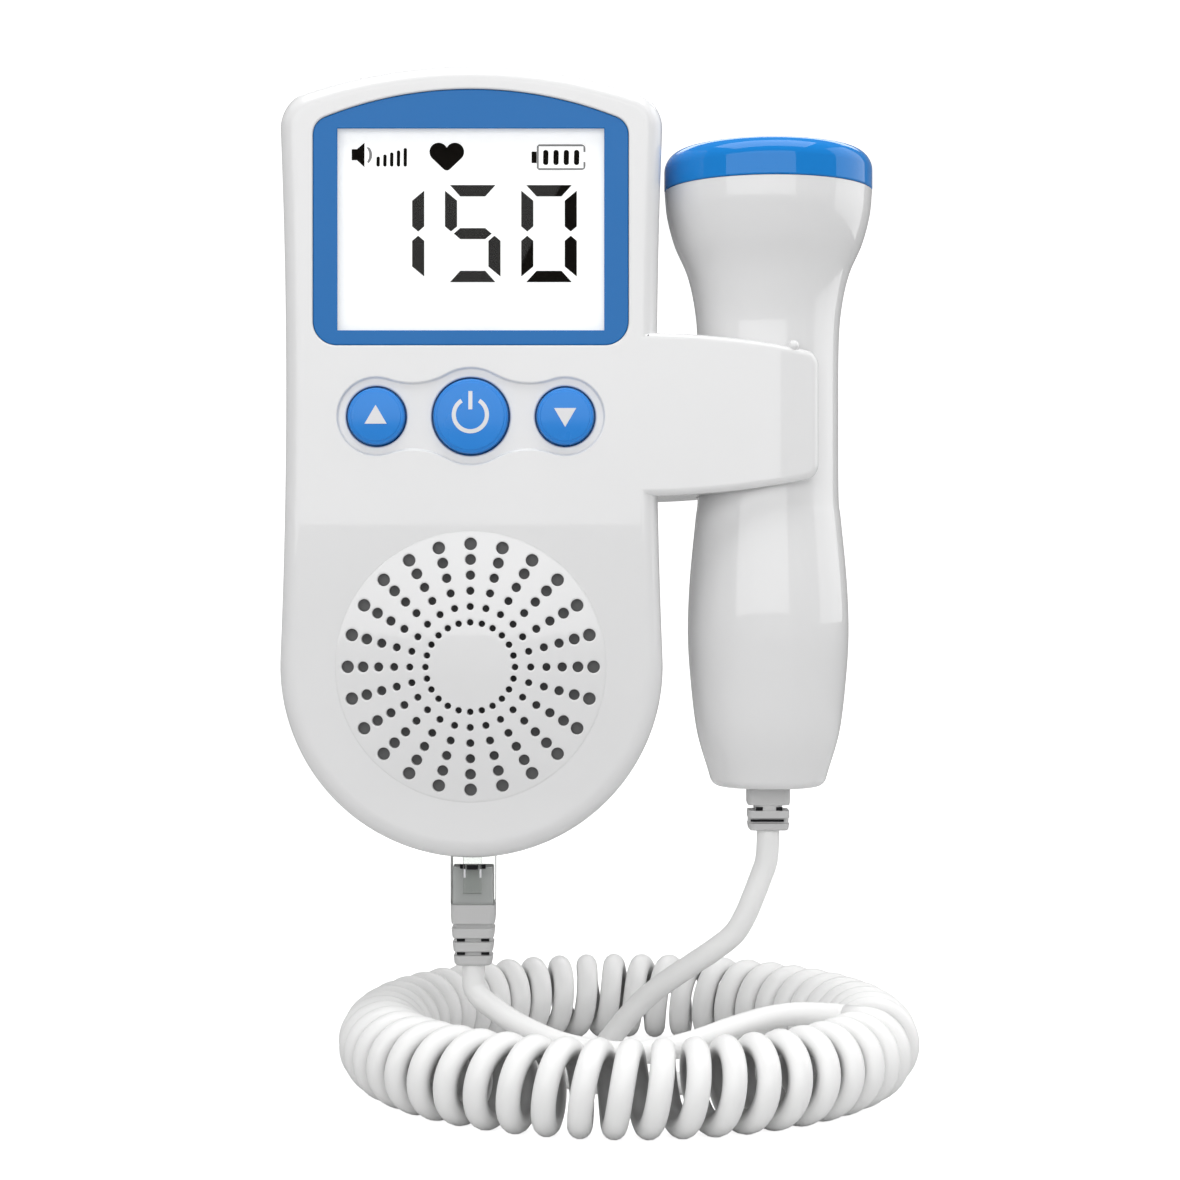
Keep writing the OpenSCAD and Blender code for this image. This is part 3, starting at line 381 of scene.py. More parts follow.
def soften(obj, width, where=lambda q: True, limit=38, segments=3):
    """Rounds the sharp edges whose middle, in millimetres, passes the test where."""
    bm = bmesh.new()
    bm.from_mesh(obj.data)
    bmesh.ops.dissolve_limit(
        bm, angle_limit=math.radians(0.05), verts=bm.verts, edges=bm.edges
    )
    edges = [
        e
        for e in bm.edges
        if len(e.link_faces) == 2
        and e.calc_face_angle(0) > math.radians(limit)
        and where((e.verts[0].co + e.verts[1].co) / 2 / MM)
    ]
    bmesh.ops.bevel(
        bm, geom=edges, offset=width * MM, segments=segments, profile=0.5, affect="EDGES",
        clamp_overlap=False,
    )
    bm.to_mesh(obj.data)
    bm.free()
    return obj


def smooth(obj, angle=32):
    """Smooth shading that leaves flat faces flat."""
    obj.data.shade_smooth()
    obj.data.set_sharp_from_angle(angle=math.radians(angle))
    step = obj.modifiers.new("normals", "WEIGHTED_NORMAL")
    step.keep_sharp, step.mode, step.weight = True, "FACE_AREA", 50
    bake(obj)
    return obj


def dress(obj, look):
    obj.data.materials.clear()
    obj.data.materials.append(get_material(look))


def place(obj, body, slot, look, *replaced):
    """Gives a piece its material, its body and the CAD nodes that it stands for."""
    dress(obj, look)
    if body:
        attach(obj, body)
    if replaced:
        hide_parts(*replaced)


# ---------- materials ----------


def node_group(name, **outputs):
    group = bpy.data.node_groups.new(name, "ShaderNodeTree")
    for label, kind in outputs.items():
        group.interface.new_socket(label, in_out="OUTPUT", socket_type="NodeSocket" + kind)
    return group


def add_node(tree, kind, value=None, operation=None, **constants):
    """A new node with constants on its inputs, and with a value linked to its first input."""
    node = tree.nodes.new("ShaderNode" + kind)
    if operation:
        node.operation = operation
    for label, constant in constants.items():
        node.inputs[label.replace("_", " ").title()].default_value = constant
    if value:
        tree.links.new(value, node.inputs[0])
    return node


def add_group(tree, group):
    node = add_node(tree, "Group")
    node.node_tree = group
    return node


def multiply(tree, value, factor):
    """A value times a number or times another value."""
    node = add_node(tree, "Math", value, "MULTIPLY")
    if isinstance(factor, bpy.types.NodeSocket):
        tree.links.new(factor, node.inputs[1])
    else:
        node.inputs[1].default_value = factor
    return node.outputs["Value"]


def ramp(tree, value, **ends):
    """A value carried from one range to another."""
    return add_node(tree, "MapRange", value, **ends).outputs["Result"]


def bumped(tree, height, normal=None, **constants):
    node = add_node(tree, "Bump", **constants)
    tree.links.new(height, node.inputs["Height"])
    if normal:
        tree.links.new(normal, node.inputs["Normal"])
    return node.outputs["Normal"]


def grain_group():
    """Fine mould grain, faint smudges and slow waviness, from the piece's own coordinates."""
    group = bpy.data.node_groups.get("Moulded detail")
    if group:
        return group
    group = node_group("Moulded detail", Smudge="Float", Shade="Float", Normal="Vector")
    at = add_node(group, "TexCoord").outputs["Object"]
    grain, smudge, wave = (
        add_node(group, "TexNoise", at, Scale=scale, Detail=detail).outputs["Fac"]
        for scale, detail in ((5200, 2), (55, 5), (22, 1))
    )
    fine = bumped(group, grain, Strength=0.035, Distance=0.00004)
    out, link = group.nodes.new("NodeGroupOutput"), group.links.new
    link(ramp(group, smudge, from_min=0.42, from_max=0.7), out.inputs["Smudge"])
    link(wave, out.inputs["Shade"])
    link(bumped(group, wave, fine, Strength=0.05, Distance=0.0006), out.inputs["Normal"])
    return group


def blend_tones(tree, share, first):
    """Makes the base colour a mix of a first tone with a second one, which the caller sets."""
    tone = add_node(tree, "Mix")
    tone.data_type = "RGBA"
    tone.inputs["A"].default_value = (*first, 1)
    tree.links.new(share, tone.inputs["Factor"])
    tree.links.new(tone.outputs["Result"], tree.nodes["Principled BSDF"].inputs["Base Color"])
    return tone


def material(name, colour, rough, rough_to=None, shade=0.04, **more):
    """A moulded surface, whose tone and roughness vary a little."""
    made = bpy.data.materials.new(name)
    made.use_nodes = True
    tree = made.node_tree
    link, shader = tree.links.new, tree.nodes["Principled BSDF"]
    detail = add_group(tree, grain_group())
    dark, light = ([min(1, c * (1 + way * shade)) for c in colour] for way in (-1, 1))
    tone = blend_tones(tree, detail.outputs["Shade"], dark)
    tone.inputs["B"].default_value = (*light, 1)
    polish = ramp(tree, detail.outputs["Smudge"], to_min=rough, to_max=rough_to or rough + 0.07)
    link(polish, shader.inputs["Roughness"])
    link(detail.outputs["Normal"], shader.inputs["Normal"])
    for label, value in more.items():
        shader.inputs[label.replace("_", " ").title().replace("Ior", "IOR")].default_value = value
    return made


def painted_reflection_group():
    """A mask of the part of the display over which a painted reflection lies, left of a slanting
    edge.
    """
    group = node_group("Slanting sheen", Mask="Float")
    at = add_node(group, "TexCoord").outputs["Object"]
    side = add_node(group, "VectorMath", at, "DOT_PRODUCT")
    side.inputs[1].default_value = (-0.895, 0, 0.446)
    height = add_node(group, "SeparateXYZ", at).outputs["Z"]
    below = ramp(group, height, from_min=0.0483, from_max=0.0478)
    left = ramp(group, side.outputs["Value"], from_min=0.0071, from_max=0.0075)
    out = group.nodes.new("NodeGroupOutput")
    group.links.new(multiply(group, below, left), out.inputs["Mask"])
    return group


def window_material(name, tint, strength, sheen=True):
    """Thin clear plastic: it lets the light straight through and mirrors it at its face. With the
    mask, the mirroring is a painted reflection that lies only over one patch.
    """
    made = bpy.data.materials.new(name)
    made.use_nodes = True
    tree = made.node_tree
    tree.nodes.clear()
    link = tree.links.new
    mix, gloss = add_node(tree, "MixShader"), add_node(tree, "BsdfGlossy", Roughness=0.3)
    through, edge = add_node(tree, "BsdfTransparent", Color=(*tint, 1)), add_node(tree, "Fresnel")
    edge.inputs["IOR"].default_value = 1.46
    share = multiply(tree, edge.outputs["Fac"], strength)
    # painted reflection: the mask keeps the window's mirroring to one slanting patch
    if sheen:
        mask = add_group(tree, painted_reflection_group()).outputs["Mask"]
        share = multiply(tree, mask, share)
    link(share, mix.inputs["Fac"])
    link(through.outputs["BSDF"], mix.inputs[1])
    link(gloss.outputs["BSDF"], mix.inputs[2])
    link(mix.outputs["Shader"], add_node(tree, "OutputMaterial").inputs["Surface"])
    return made


def painted_curl_shade_group():
    """A mask that is 0 on the curls' inner side, where painted shade stands in for the shadow of
    the neighbouring curls, and 1 outside.
    """
    p = cord_props()
    group = node_group("Inside of curls", Mask="Float")
    link = group.links.new

    def vector(operation, value, constant=(0, 0, 0)):
        node = add_node(group, "VectorMath", value, operation)
        node.inputs[1].default_value = constant
        return node.outputs["Value" if operation == "LENGTH" else "Vector"]

    at = vector("SUBTRACT", add_node(group, "TexCoord").outputs["Object"],
                RING * MM + Vector((0, 0, p.curl / 2)))
    from_axis = vector("LENGTH", vector("MULTIPLY", at, (1, 1, 0)))
    out_by = add_node(group, "Math", from_axis, "SUBTRACT")
    out_by.inputs[1].default_value = p.ring
    section = add_node(group, "CombineXYZ", out_by.outputs["Value"])
    link(add_node(group, "SeparateXYZ", at).outputs["Z"], section.inputs["Y"])
    mask = ramp(group, vector("LENGTH", section.outputs["Vector"]),
                from_min=p.curl / 2 - 0.8 * p.diameter, from_max=p.curl / 2 - 0.45 * p.diameter)
    link(mask, group.nodes.new("NodeGroupOutput").inputs["Mask"])
    return group


def coil_material(colour, inside):
    """The cord's jacket, with painted shade on the inner side of the curls."""
    made = material("Coil jacket", colour, 0.36, 0.44, coat_weight=0.1)
    tree = made.node_tree
    mask = add_group(tree, painted_curl_shade_group()).outputs["Mask"]
    outside = tree.nodes["Principled BSDF"].inputs["Base Color"].links[0].from_socket
    tree.links.new(outside, blend_tones(tree, mask, inside).inputs["B"])
    return made


made_materials = {}


# Name, colour or the property that holds it, roughness from and to, and other constants.
MOULDED = {
    "shell": ("White plastic", "shell", 0.3, 0.36,
              {"specular_ior_level": 0.2, "coat_weight": 1, "coat_roughness": 0.02,
               "coat_ior": 1.46}),
    "bezel": ("Frame blue", "bezel", 0.3, 0.36, {"coat_weight": 0.1, "specular_ior_level": 0.25}),
    "key": ("Key blue", "key", 0.26, 0.33,
            {"coat_weight": 0.15, "coat_roughness": 0.1, "specular_ior_level": 0.3}),
    "cap": ("Cap blue", "cap", 0.3, 0.36,
            {"specular_ior_level": 0, "coat_weight": 1, "coat_roughness": 0.02, "coat_ior": 1.4}),
    "icon": ("Key print", (0.78, 0.78, 0.8), 0.4),
    "ink": ("Display ink", (0.008, 0.007, 0.006), 0.7, {"specular_ior_level": 0}),
    "faint": ("Display faint ink", (0.28, 0.28, 0.28), 0.7, {"specular_ior_level": 0}),
    "display": ("Display glass", (0.86, 0.87, 0.86), 0.35,
                {"emission_color": (1, 1, 1, 1), "emission_strength": 0.32}),
    "guide": ("Light guide", (0.85, 0.86, 0.88), 0.3),
    "silicone": ("Silicone", (0.6, 0.62, 0.66), 0.5),
    "black": ("Black plastic", (0.02, 0.02, 0.022), 0.4),
    "board": ("Solder mask", (0.01, 0.12, 0.05), 0.3, {"coat_weight": 0.3}),
    "cloth": ("Speaker cloth", (0.16, 0.16, 0.162), 0.85, 0.95),
    "foam": ("Foam", (0.015, 0.015, 0.016), 0.9),
    "driver": ("Driver", (0.03, 0.03, 0.032), 0.35),
    "cell": ("Cell wrap", (0.04, 0.045, 0.05), 0.3, {"metallic": 0.6}),
    "steel": ("Plated steel", (0.62, 0.62, 0.64), 0.25, {"metallic": 1}),
    "gold": ("Gold flash", (0.85, 0.6, 0.22), 0.22, {"metallic": 1}),
    "potting": ("Potting", (0.03, 0.03, 0.035), 0.5),
    "crystal": ("Silvered ceramic", (0.7, 0.68, 0.6), 0.3, {"metallic": 0.7}),
    "core": ("Plug core", (0.6, 0.61, 0.61), 0.4),
    "boot": ("Boot", (0.6, 0.6, 0.6), 0.42),
    # painted shadow: near-black that stands in for the shade inside slits, grooves and gaps
    "slit": ("Slit shade", (0.02, 0.02, 0.022), 0.7, {"specular_ior_level": 0}),
    "cord": ("Cord jacket", "colour", 0.36, 0.44, {"coat_weight": 0.1}),
}
# painted shade: the tone of the curls' inner side, where the neighbouring curls cast shadow
COIL_PAINTED_SHADE = (0.38, 0.38, 0.38)


def make_material(look):
    if look == "window":
        return window_material("Clear window", (1, 1, 1), 0.3)
    if look == "plug":
        return window_material("Clear plug", (0.93, 0.94, 0.93), 1, sheen=False)
    if look == "coil":
        return coil_material(cord_props().colour, COIL_PAINTED_SHADE)
    name, colour, *rough = MOULDED[look]
    more = rough.pop() if isinstance(rough[-1], dict) else {}
    if isinstance(colour, str):
        colour = getattr(cord_props() if look == "cord" else housing_props(), colour)
    return material(name, colour, *rough, **more)


def get_material(look):
    """A material, made at its first use."""
    if look not in made_materials:
        made_materials[look] = make_material(look)
    return made_materials[look]


# ---------- cord ----------

RING = Vector((27.0, -16.4, -108.9))
CURL_START, CURL_TURN, CURL_STEPS = -20.0, 7.06, 40
PLUG_ROUTE = [
    (-26.8, -7.5, 17.9), (-25.6, -8.4, 16.3), (-23.4, -9.9, 14.9), (-20.4, -12.1, 13.2),
    (-16.6, -14.8, 11.7), (-12.4, -17.6, 10.5), (-8, -19.9, 9.8), (-3, -21.8, 9.5),
    (2.2, -22.8, 9.8), (7.2, -22.4, 10.5), (11.8, -20.4, 11.4), (16, -17.3, 12.3),
    (19.8, -14, 12.9), (23.8, -11.1, 13.4), (28.4, -9.7, 13.8),
]
PROBE_ROUTE = [
    (24.2, -2, 39.4), (23.2, -1.9, 36.4), (21.9, -1.8, 33), (20.5, -1.4, 29.6),
    (18.6, -0.8, 26.4), (15.4, 0.2, 23.6), (10.6, 2.2, 20), (5.2, 4.6, 15.8), (1, 6.5, 11.6),
    (-2.6, 7.8, 7), (-5.8, 7.4, 3.4), (-9.2, 4.8, 2), (-11.4, 0.6, 2), (-10.8, -4.4, 2),
    (-7, -8.6, 2), (-0.6, -10.4, 2), (8, -10.2, 2), (17, -8.8, 2), (26, -7.4, 2),
]
PLUG_Y = -23.7
BOOT_END, TAIL_END = -86.75, -63.95


def curl_point(i):
    """The middle of the curly cord, i curls from its start."""
    p = cord_props()
    a, f = math.radians(CURL_START - CURL_TURN * i), math.radians(90 - 360 * i)
    curl_r = (p.curl - p.diameter) / 2 / MM
    r = p.ring / MM + curl_r * math.cos(f)
    return RING + Vector((r * math.cos(a), r * math.sin(a), p.curl / 2 / MM + curl_r * math.sin(f)))


def spline(points, n=6):
    """A smooth curve through points, with n steps from each to the next."""
    p = [points[0] * 2 - points[1], *points, points[-1] * 2 - points[-2]]
    made = []
    for a, b, c, d in zip(p, p[1:], p[2:], p[3:]):
        for j in range(n):
            t = j / n
            made.append(
                0.5 * (2 * b + (c - a) * t + (2 * a - 5 * b + 4 * c - d) * t**2
                       + (3 * b - a - 3 * c + d) * t**3)
            )
    return [*made, points[-1]]


def tube(name, path, r, sides=20):
    """A round tube along a path, carried along without twisting."""
    rings = []
    ahead = (path[1] - path[0]).normalized()
    side = ahead.orthogonal().normalized()
    for i, at in enumerate(path):
        ahead = (path[min(i + 1, len(path) - 1)] - path[max(i - 1, 0)]).normalized()
        side = (side - side.dot(ahead) * ahead).normalized()
        up = ahead.cross(side)
        rings.append([
            at + r * (math.cos(2 * math.pi * k / sides) * side
                      + math.sin(2 * math.pi * k / sides) * up)
            for k in range(sides)
        ])
    return loft(name, rings)


def jacket(name, path, sides=20):
    """The skin of a cord along a path, with flat ends."""
    piece = tube(name, path, cord_props().diameter / 2 / MM, sides)
    for face in piece.data.polygons:
        face.use_smooth = len(face.vertices) == 4
    return piece


def lead(name, path, node):
    """A straight lead between a moving piece and the curls."""
    piece = jacket(name, path)
    place(piece, None, "cord_white", "cord", node)
    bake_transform(piece)


def build_cord():
    p = cord_props()
    fine, last, straight = 0.001, p.curls, p.diameter / MM
    way_in = (curl_point(fine) - curl_point(-fine)).normalized()
    way_out = (curl_point(last + fine) - curl_point(last - fine)).normalized()
    curl_in = curl_point(0) - straight * way_in
    curl_out = curl_point(last) + straight * way_out
    curls = [curl_point(i / CURL_STEPS) for i in range(round(last * CURL_STEPS) + 1)]
    path = spline([curl_in, *curls, curl_out], 1)
    coil = jacket("curly_cord_jacket", path, 16)
    place(coil, "main_unit", "cord_white", "coil", "curly_cord")
    boot, tail = Vector((0, PLUG_Y, BOOT_END)), Vector((*PROBE, TAIL_END))
    down = Vector((0, 0, -straight / 2))
    plug_path = spline([boot, boot + down, *(RING + Vector(q) for q in PLUG_ROUTE),
                        curl_in - straight * way_in, curl_in])
    lead("plug_lead_jacket", plug_path,
         "plug_lead")
    probe_path = spline([tail, tail + down, *(RING + Vector(q) for q in PROBE_ROUTE),
                         curl_out + straight * way_out, curl_out])
    lead("probe_lead_jacket", probe_path,
         "probe_lead")


# ---------- housing ----------


def bend_at(x):
    """How far the front finger bends back at x: flat, then a slope with a soft crease."""
    flat_to, past, soft, slope = 48, x - 51.6, 0.5, 0.21
    return slope * (past + math.hypot(past, soft)) / 2 if x > flat_to else 0


def clip_solid(face_y, split_y, way, bent):
    """One half of the clip before the slot is cut, with a face of strips that can bend."""
    verts, steps = [], edge_steps(1.2, 6)
    for back, inset in steps:
        verts += [(x, face_y + way * back + (bend_at(x) if bent else 0), z)
                  for x, z in clip_line(inset, CLIP_STRIPS)]
    end = at_depth(clip_line(0, CLIP_STRIPS), split_y)
    n, m = len(end), len(steps) + 1
    strips = [(n - 1 - i, n - 2 - i, i + 1, i) for i in range(n // 2 - 1)]
    return mesh_of("clip", verts + end, walls(n, m) + strips + [tuple(range((m - 1) * n, m * n))])


def clip_slot():
    """The space that the probe's neck slides through."""
    r, open_x, half = CLIP_BORE, 64, 16
    line = arc(PROBE, r, 90, 270, 96)
    line += [polar(PROBE, r, 270), (open_x, PROBE[1] - r), (open_x, PROBE[1] + r)]
    return loft("slot", [[(x, y, CLIP_Z + z) for x, y in line] for z in (-half, half)])


def key_dish_line():
    """Outline of the dish round the keys: three round lobes joined by saddles."""
    mid_r, side_r, saddle_r, lobe_steps, saddle_steps = 8.2, 6.6, 12.0, 30, 12
    mid, right = (0, 0), (KEY_PITCH, 0)
    s = meet(right, side_r + saddle_r, mid, mid_r + saddle_r)
    s = (s[0], abs(s[1]))
    to_mid = angle_to(mid, s)
    upper = (
        arc(right, side_r, 0, angle_to(right, s), lobe_steps)
        + arc(s, saddle_r, angle_to(s, right), angle_to(s, mid), saddle_steps)
        + arc(mid, mid_r, to_mid, 180 - to_mid, lobe_steps)
    )
    top = upper + [(-x, y) for x, y in reversed(upper[1:lobe_steps + saddle_steps])]
    bottom = [(x, -y) for x, y in reversed(top[1:])]
    return [(x, KEY_Z + y) for x, y in top + [(-KEY_PITCH - side_r, 0)] + bottom]


def body_rings(h, y_from, y_to, front_r, back_r):
    front = [(y_from + a, b) for a, b in edge_steps(front_r)] if front_r else [(y_from, 0)]
    back = [(y_to - a, b) for a, b in reversed(edge_steps(back_r))] if back_r else [(y_to, 0)]
    return [at_depth(h.line(inset), y) for y, inset in front + back]


def build_front(h, soft):
    face, seat_r, bore_r, end_z = h.front_y, 22.97, 22.1, h.end_c[1]
    outside, inside, key_bore, small_bore = -35, -31, 6.65, 5.15
    front = loft("front_shell", body_rings(h, face, h.split_y, housing_props().front_edge / MM, 0))
    cavity = [(face + 2, 3.5), (face + 3.5, 2), (h.split_y + 1, 2)]
    tools = [
        loft("cavity", [at_depth(h.line(wall), y) for y, wall in cavity]),
        prism(frame_line(-0.06), face - 1, -32.2),
        prism(screen_rect(23.85, 18.3), -33, -29),
        prism(key_dish_line(), face - 1, face + 0.6),
        rod(0, KEY_Z, key_bore, outside, inside),
        rod(KEY_PITCH, KEY_Z, small_bore, outside, inside, 80),
        rod(-KEY_PITCH, KEY_Z, small_bore, outside, inside, 80),
        rod(0, end_z, seat_r, outside, -32.8, 192),
        rod(0, end_z, bore_r, -33.5, inside, 192),
        block((-5.9, -29.6, -69), (5.9, -19.2, -63)),
        clip_slot(),
        loft("jack_hole", [[(x, *polar((-22, 30), 3.0, a)) for a in range(0, 360, 6)]
                           for x in (-34, -28)]),
    ]
    combine(front, ("UNION", clip_solid(face, h.split_y, 1, True)),
            *(("DIFFERENCE", tool) for tool in tools))
    soften(front, soft, lambda q: q.y < -33.2 and not 30 <= q.x <= 36
           and abs(math.hypot(q.x, q.z - end_z) - seat_r) > 0.1)
    place(smooth(front), "main_unit", "shell_white", "shell", "front_cover")
    nub = revolve("clip_nub", arc((0, 0), 0.95, -90, 100, 19), 32)
    nub.location = Vector((54.8, -32.4, 19.6)) * MM
    place(smooth(nub, 60), "main_unit", "shell_white", "shell")


def build_rear(h, soft):
    gap, clip_wall = 0.06, 2.9
    split = h.split_y + gap
    rear = loft("rear_shell", body_rings(h, split, 0, 0, housing_props().back_edge / MM))
    clip = clip_solid(PROBE[1] + CLIP_BORE + clip_wall, split, -1, False)
    tub = block((-16.5, -18.8, -62.1), (16.5, -10, -5.4))
    tools = [block((-15.3, -17.6, -61), (15.3, 1, -6.65)), *door_space()]
    tools += [rod(x, z, 2.3, -10.6, 1, 48)
              for x, z in ((26.5, 55.5), (-26.5, 55.5), (22.8, -50.8), (-22.8, -50.8))]
    combine(rear, ("UNION", clip), ("UNION", tub),
            *(("DIFFERENCE", tool) for tool in (*tools, clip_slot())))
    soften(rear, soft, lambda q: q.y > -0.4)
    place(smooth(rear), "main_unit", "shell_white", "shell", "rear_cover")


def build_housing():
    h, soft = Housing(), housing_props().soft_edge / MM
    build_front(h, soft)
    build_rear(h, soft)
    build_door(h, soft)


def door_space():
    """The recess that the door slides in, with its lip at the lower end."""
    return [
        block((-17.75, -1.3, -69), (17.75, 1, -4.4)),
        block((-17.75, -4.25, -69), (17.75, 1, -61.75)),
    ]


def build_door(h, soft):
    door = loft("door_plate", body_rings(h, h.split_y, 0, 0, housing_props().back_edge / MM))
    keep = block((-17.5, -1.2, -69), (17.5, 1, -4.65))
    combine(keep, ("UNION", block((-17.5, -4, -69), (17.5, 1, -62))))
    first, pitch, tall, deep = -10.6, 1.8, 0.8, 0.4
    grips = [block((-6, -deep, z - tall), (6, 1, z)) for z in (first - pitch * i for i in range(5))]
    combine(door, ("INTERSECT", keep), *(("DIFFERENCE", grip) for grip in grips))
    soften(door, soft * 0.6, lambda q: q.y > -1.3)
    place(smooth(door), "door", "shell_white", "shell", "battery_door")


# ---------- screen ----------

LCD_Y = -32.1


def build_screen():
    front_y, back_y = -33.8, -32.25
    edge = [(0, 0.22), (0.04, 0.1), (0.12, 0.02), (0.3, 0), (back_y - front_y, 0)]
    bezel = loft("bezel_frame", [at_depth(frame_line(inset), front_y + y) for y, inset in edge])
    combine(bezel, ("DIFFERENCE", prism(screen_rect(22.6, 17.1), -35, -31)),
            ("DIFFERENCE", prism(screen_rect(23.65, 18.15), -33.3, -31)))
    soften(bezel, 0.15, lambda q: q.y < -33.7 and abs(q.x) < 24 and abs(q.z - SCREEN_Z) < 18, 60)
    place(smooth(bezel), "main_unit", "frame_blue", "bezel", "screen_bezel")
    marks, faint = display_marks()
    for name, shapes, look in (("display_marks", marks, "ink"),
                               ("display_faint_marks", faint, "faint")):
        signs = raised(name, shapes, lambda x, z: (x, LCD_Y - 0.04, z), lambda x, z: (x, LCD_Y, z))
        place(signs, "main_unit", "display", look)


def pill(x, low, high, r):
    """An upright bar with rounded ends."""
    return arc((x, low + r), r, 180, 360, 8) + arc((x, high - r), r, 0, 180, 8)


def digit(left, low, lit):
    """The lit segments of a seven-segment figure."""
    w, h, t, tip, far = 9.44, 16.5, 2.05, 0.85, 2.6
    mid, thick = h / 2, 1.92
    side = [(0, 0.95), (t, 2.66), (t, mid - 1.23), (t / 2, mid - 0.36), (0, mid - 1.23)]
    across = [(tip, 0), (w - tip, 0), (w - far, thick), (far, thick)]
    shapes = {
        "bottom": across,
        "top": [(x, h - z) for x, z in across],
        "low_left": side,
        "low_right": [(w - x, z) for x, z in side],
        "high_left": [(x, h - z) for x, z in side],
        "high_right": [(w - x, h - z) for x, z in side],
        "middle": [(1.5, mid), (far, mid - 0.93), (w - far, mid - 0.93), (w - 1.5, mid),
                   (w - far, mid + 0.93), (far, mid + 0.93)],
    }
    return [[(left + x, low + z) for x, z in shapes[name]] for name in lit]


def heart_line():
    """A heart of two round lobes, joined by tangents to a small round tip."""
    lobe, tip, lobe_r, tip_r = (1.385, 0.7), (0, -1.65), 1.55, 0.8
    taper = math.degrees(math.asin((lobe_r - tip_r) / math.dist(tip, lobe)))
    tilt = angle_to(tip, lobe) - 90 - taper
    cleft = 180 - math.degrees(math.acos(lobe[0] / lobe_r))
    half = arc(tip, tip_r, -90, tilt, 8) + [polar(tip, tip_r, tilt)]
    half += arc(lobe, lobe_r, tilt, cleft, 24) + [(0, polar(lobe, lobe_r, cleft)[1])]
    return both_sides(half)


def display_marks():
    """Plain signs on the display: loudspeaker, level, heart, battery and a figure."""
    base = 30.45
    marks = digit(-17.43, base, ["low_right", "high_right"])
    marks += digit(-4.46, base, ["top", "high_left", "middle", "low_right", "bottom"])
    marks += digit(8.51, base, ["top", "bottom", "low_left", "low_right", "high_left",
                                "high_right"])
    # loudspeaker, level bars and heart
    marks.append([(-20.32, 51.18), (-19.42, 51.18), (-18.15, 50.0), (-18.15, 54.15),
                  (-19.42, 53.05), (-20.32, 53.05)])
    for i, top in enumerate((51.8, 52.15, 52.5, 52.85, 53.25)):
        marks.append(pill(-15.82 + 1.152 * i, 50.1, top, 0.29))
    marks.append([(x - 4.15, 51.9 + z) for x, z in heart_line()])
    # battery: its pole and four cells, then its case in thin lines
    marks.append(rect(10.27, 50.7, 11.12, 52.64))
    marks += [pill(12.68 + 1.747 * i, 50.36, 52.93, 0.46) for i in range(4)]
    line, low, high, left, right, r = 0.33, 49.5, 53.88, 11.15, 19.42, 0.7
    outer = [(right, 50.9), (right, low + r)] + arc((right - r, low + r), r, 0, -90, 6)
    outer += [(left + r / 2, low), (left, low + r / 2), (left, high - r / 2), (left + r / 2, high)]
    outer += arc((right - r, high - r), r, 90, 0, 6) + [(right, high - r), (right, 52.55)]
    inner = [(min(max(x, left + line), right - line), min(max(z, low + line), high - line))
             for x, z in outer]
    faint = [[a, b, d, c] for a, b, c, d in zip(outer, outer[1:], inner, inner[1:])]
    # the loudspeaker's sound wave
    faint.append(arc((-18.7, 52.08), 1.85, -50, 50, 12) + arc((-19.3, 52.08), 1.98, 42, -42, 12))
    return marks, faint


# ---------- keys ----------


def build_keys():
    for name, x, r in (("power", 0, 6.4), ("up", -KEY_PITCH, 4.9), ("down", KEY_PITCH, 4.9)):
        build_key(f"{name}_button", f"{name}_key", x, r)


def build_key(node, body, x, r):
    """A round key: foot, straight side, rounded shoulder and a shallow crown with its sign."""
    foot_y, tall, crown_edge, rise = -30.6, 4.4, r - 0.75, 0.35
    crown_r = (crown_edge**2 + rise**2) / (2 * rise)
    profile = [(0, 0), (r - 0.6, 0), (r - 0.6, 0.3), (r + 0.9, 0.3), (r + 0.9, 1.1), (r, 1.1),
               (r, 2.9), (r - 0.12, tall - 0.9)]
    profile += [polar((r - 0.52, tall - 0.9), 0.4, 15 * i) for i in range(1, 7)]
    profile.append((crown_edge + 0.1, tall - 0.48))
    for q in (crown_edge * (1 - i / 8) for i in range(9)):
        profile.append((q, tall - crown_r + math.sqrt(crown_r**2 - q * q)))
    key = revolve(f"{node}_top", [(a, b - foot_y) for a, b in profile], at=(x, KEY_Z), axis="Y")
    place(smooth(key, 40), body, "key_blue", "key", node)
    crowned = node == "power_button"

    def printed(lift):
        """Places a point of the sign over the crown; the small arrows stay flat."""
        def at(a, b):
            sag = crown_r - math.sqrt(crown_r**2 - a * a - b * b) if crowned else 0
            return (x + a, foot_y - tall - lift + sag, KEY_Z + b)
        return at

    sign = raised(f"{node}_sign", key_signs(node), printed(0.03), printed(-0.25), False)
    place(sign, body, "key_blue", "icon")


def key_signs(node):
    """The printed sign of a key, as outlines about its middle."""
    if node == "power_button":
        middle, outer, inner, gap, n = (0, 0.2), 3.15, 2.45, 32, 36
        ends = [90 + gap + (360 - 2 * gap) * i / n for i in range(n + 1)]
        ring = [
            [polar(middle, outer, a), polar(middle, outer, b),
             polar(middle, inner, b), polar(middle, inner, a)]
            for a, b in zip(ends, ends[1:])
        ]
        return ring + [rect(-0.34, 1.1, 0.34, 4.2)]
    way = 1 if node == "up_button" else -1
    return [[(x, way * z) for x, z in ((-1.87, -1.32), (1.87, -1.32), (0, 1.87))]]


# ---------- loudspeaker ----------


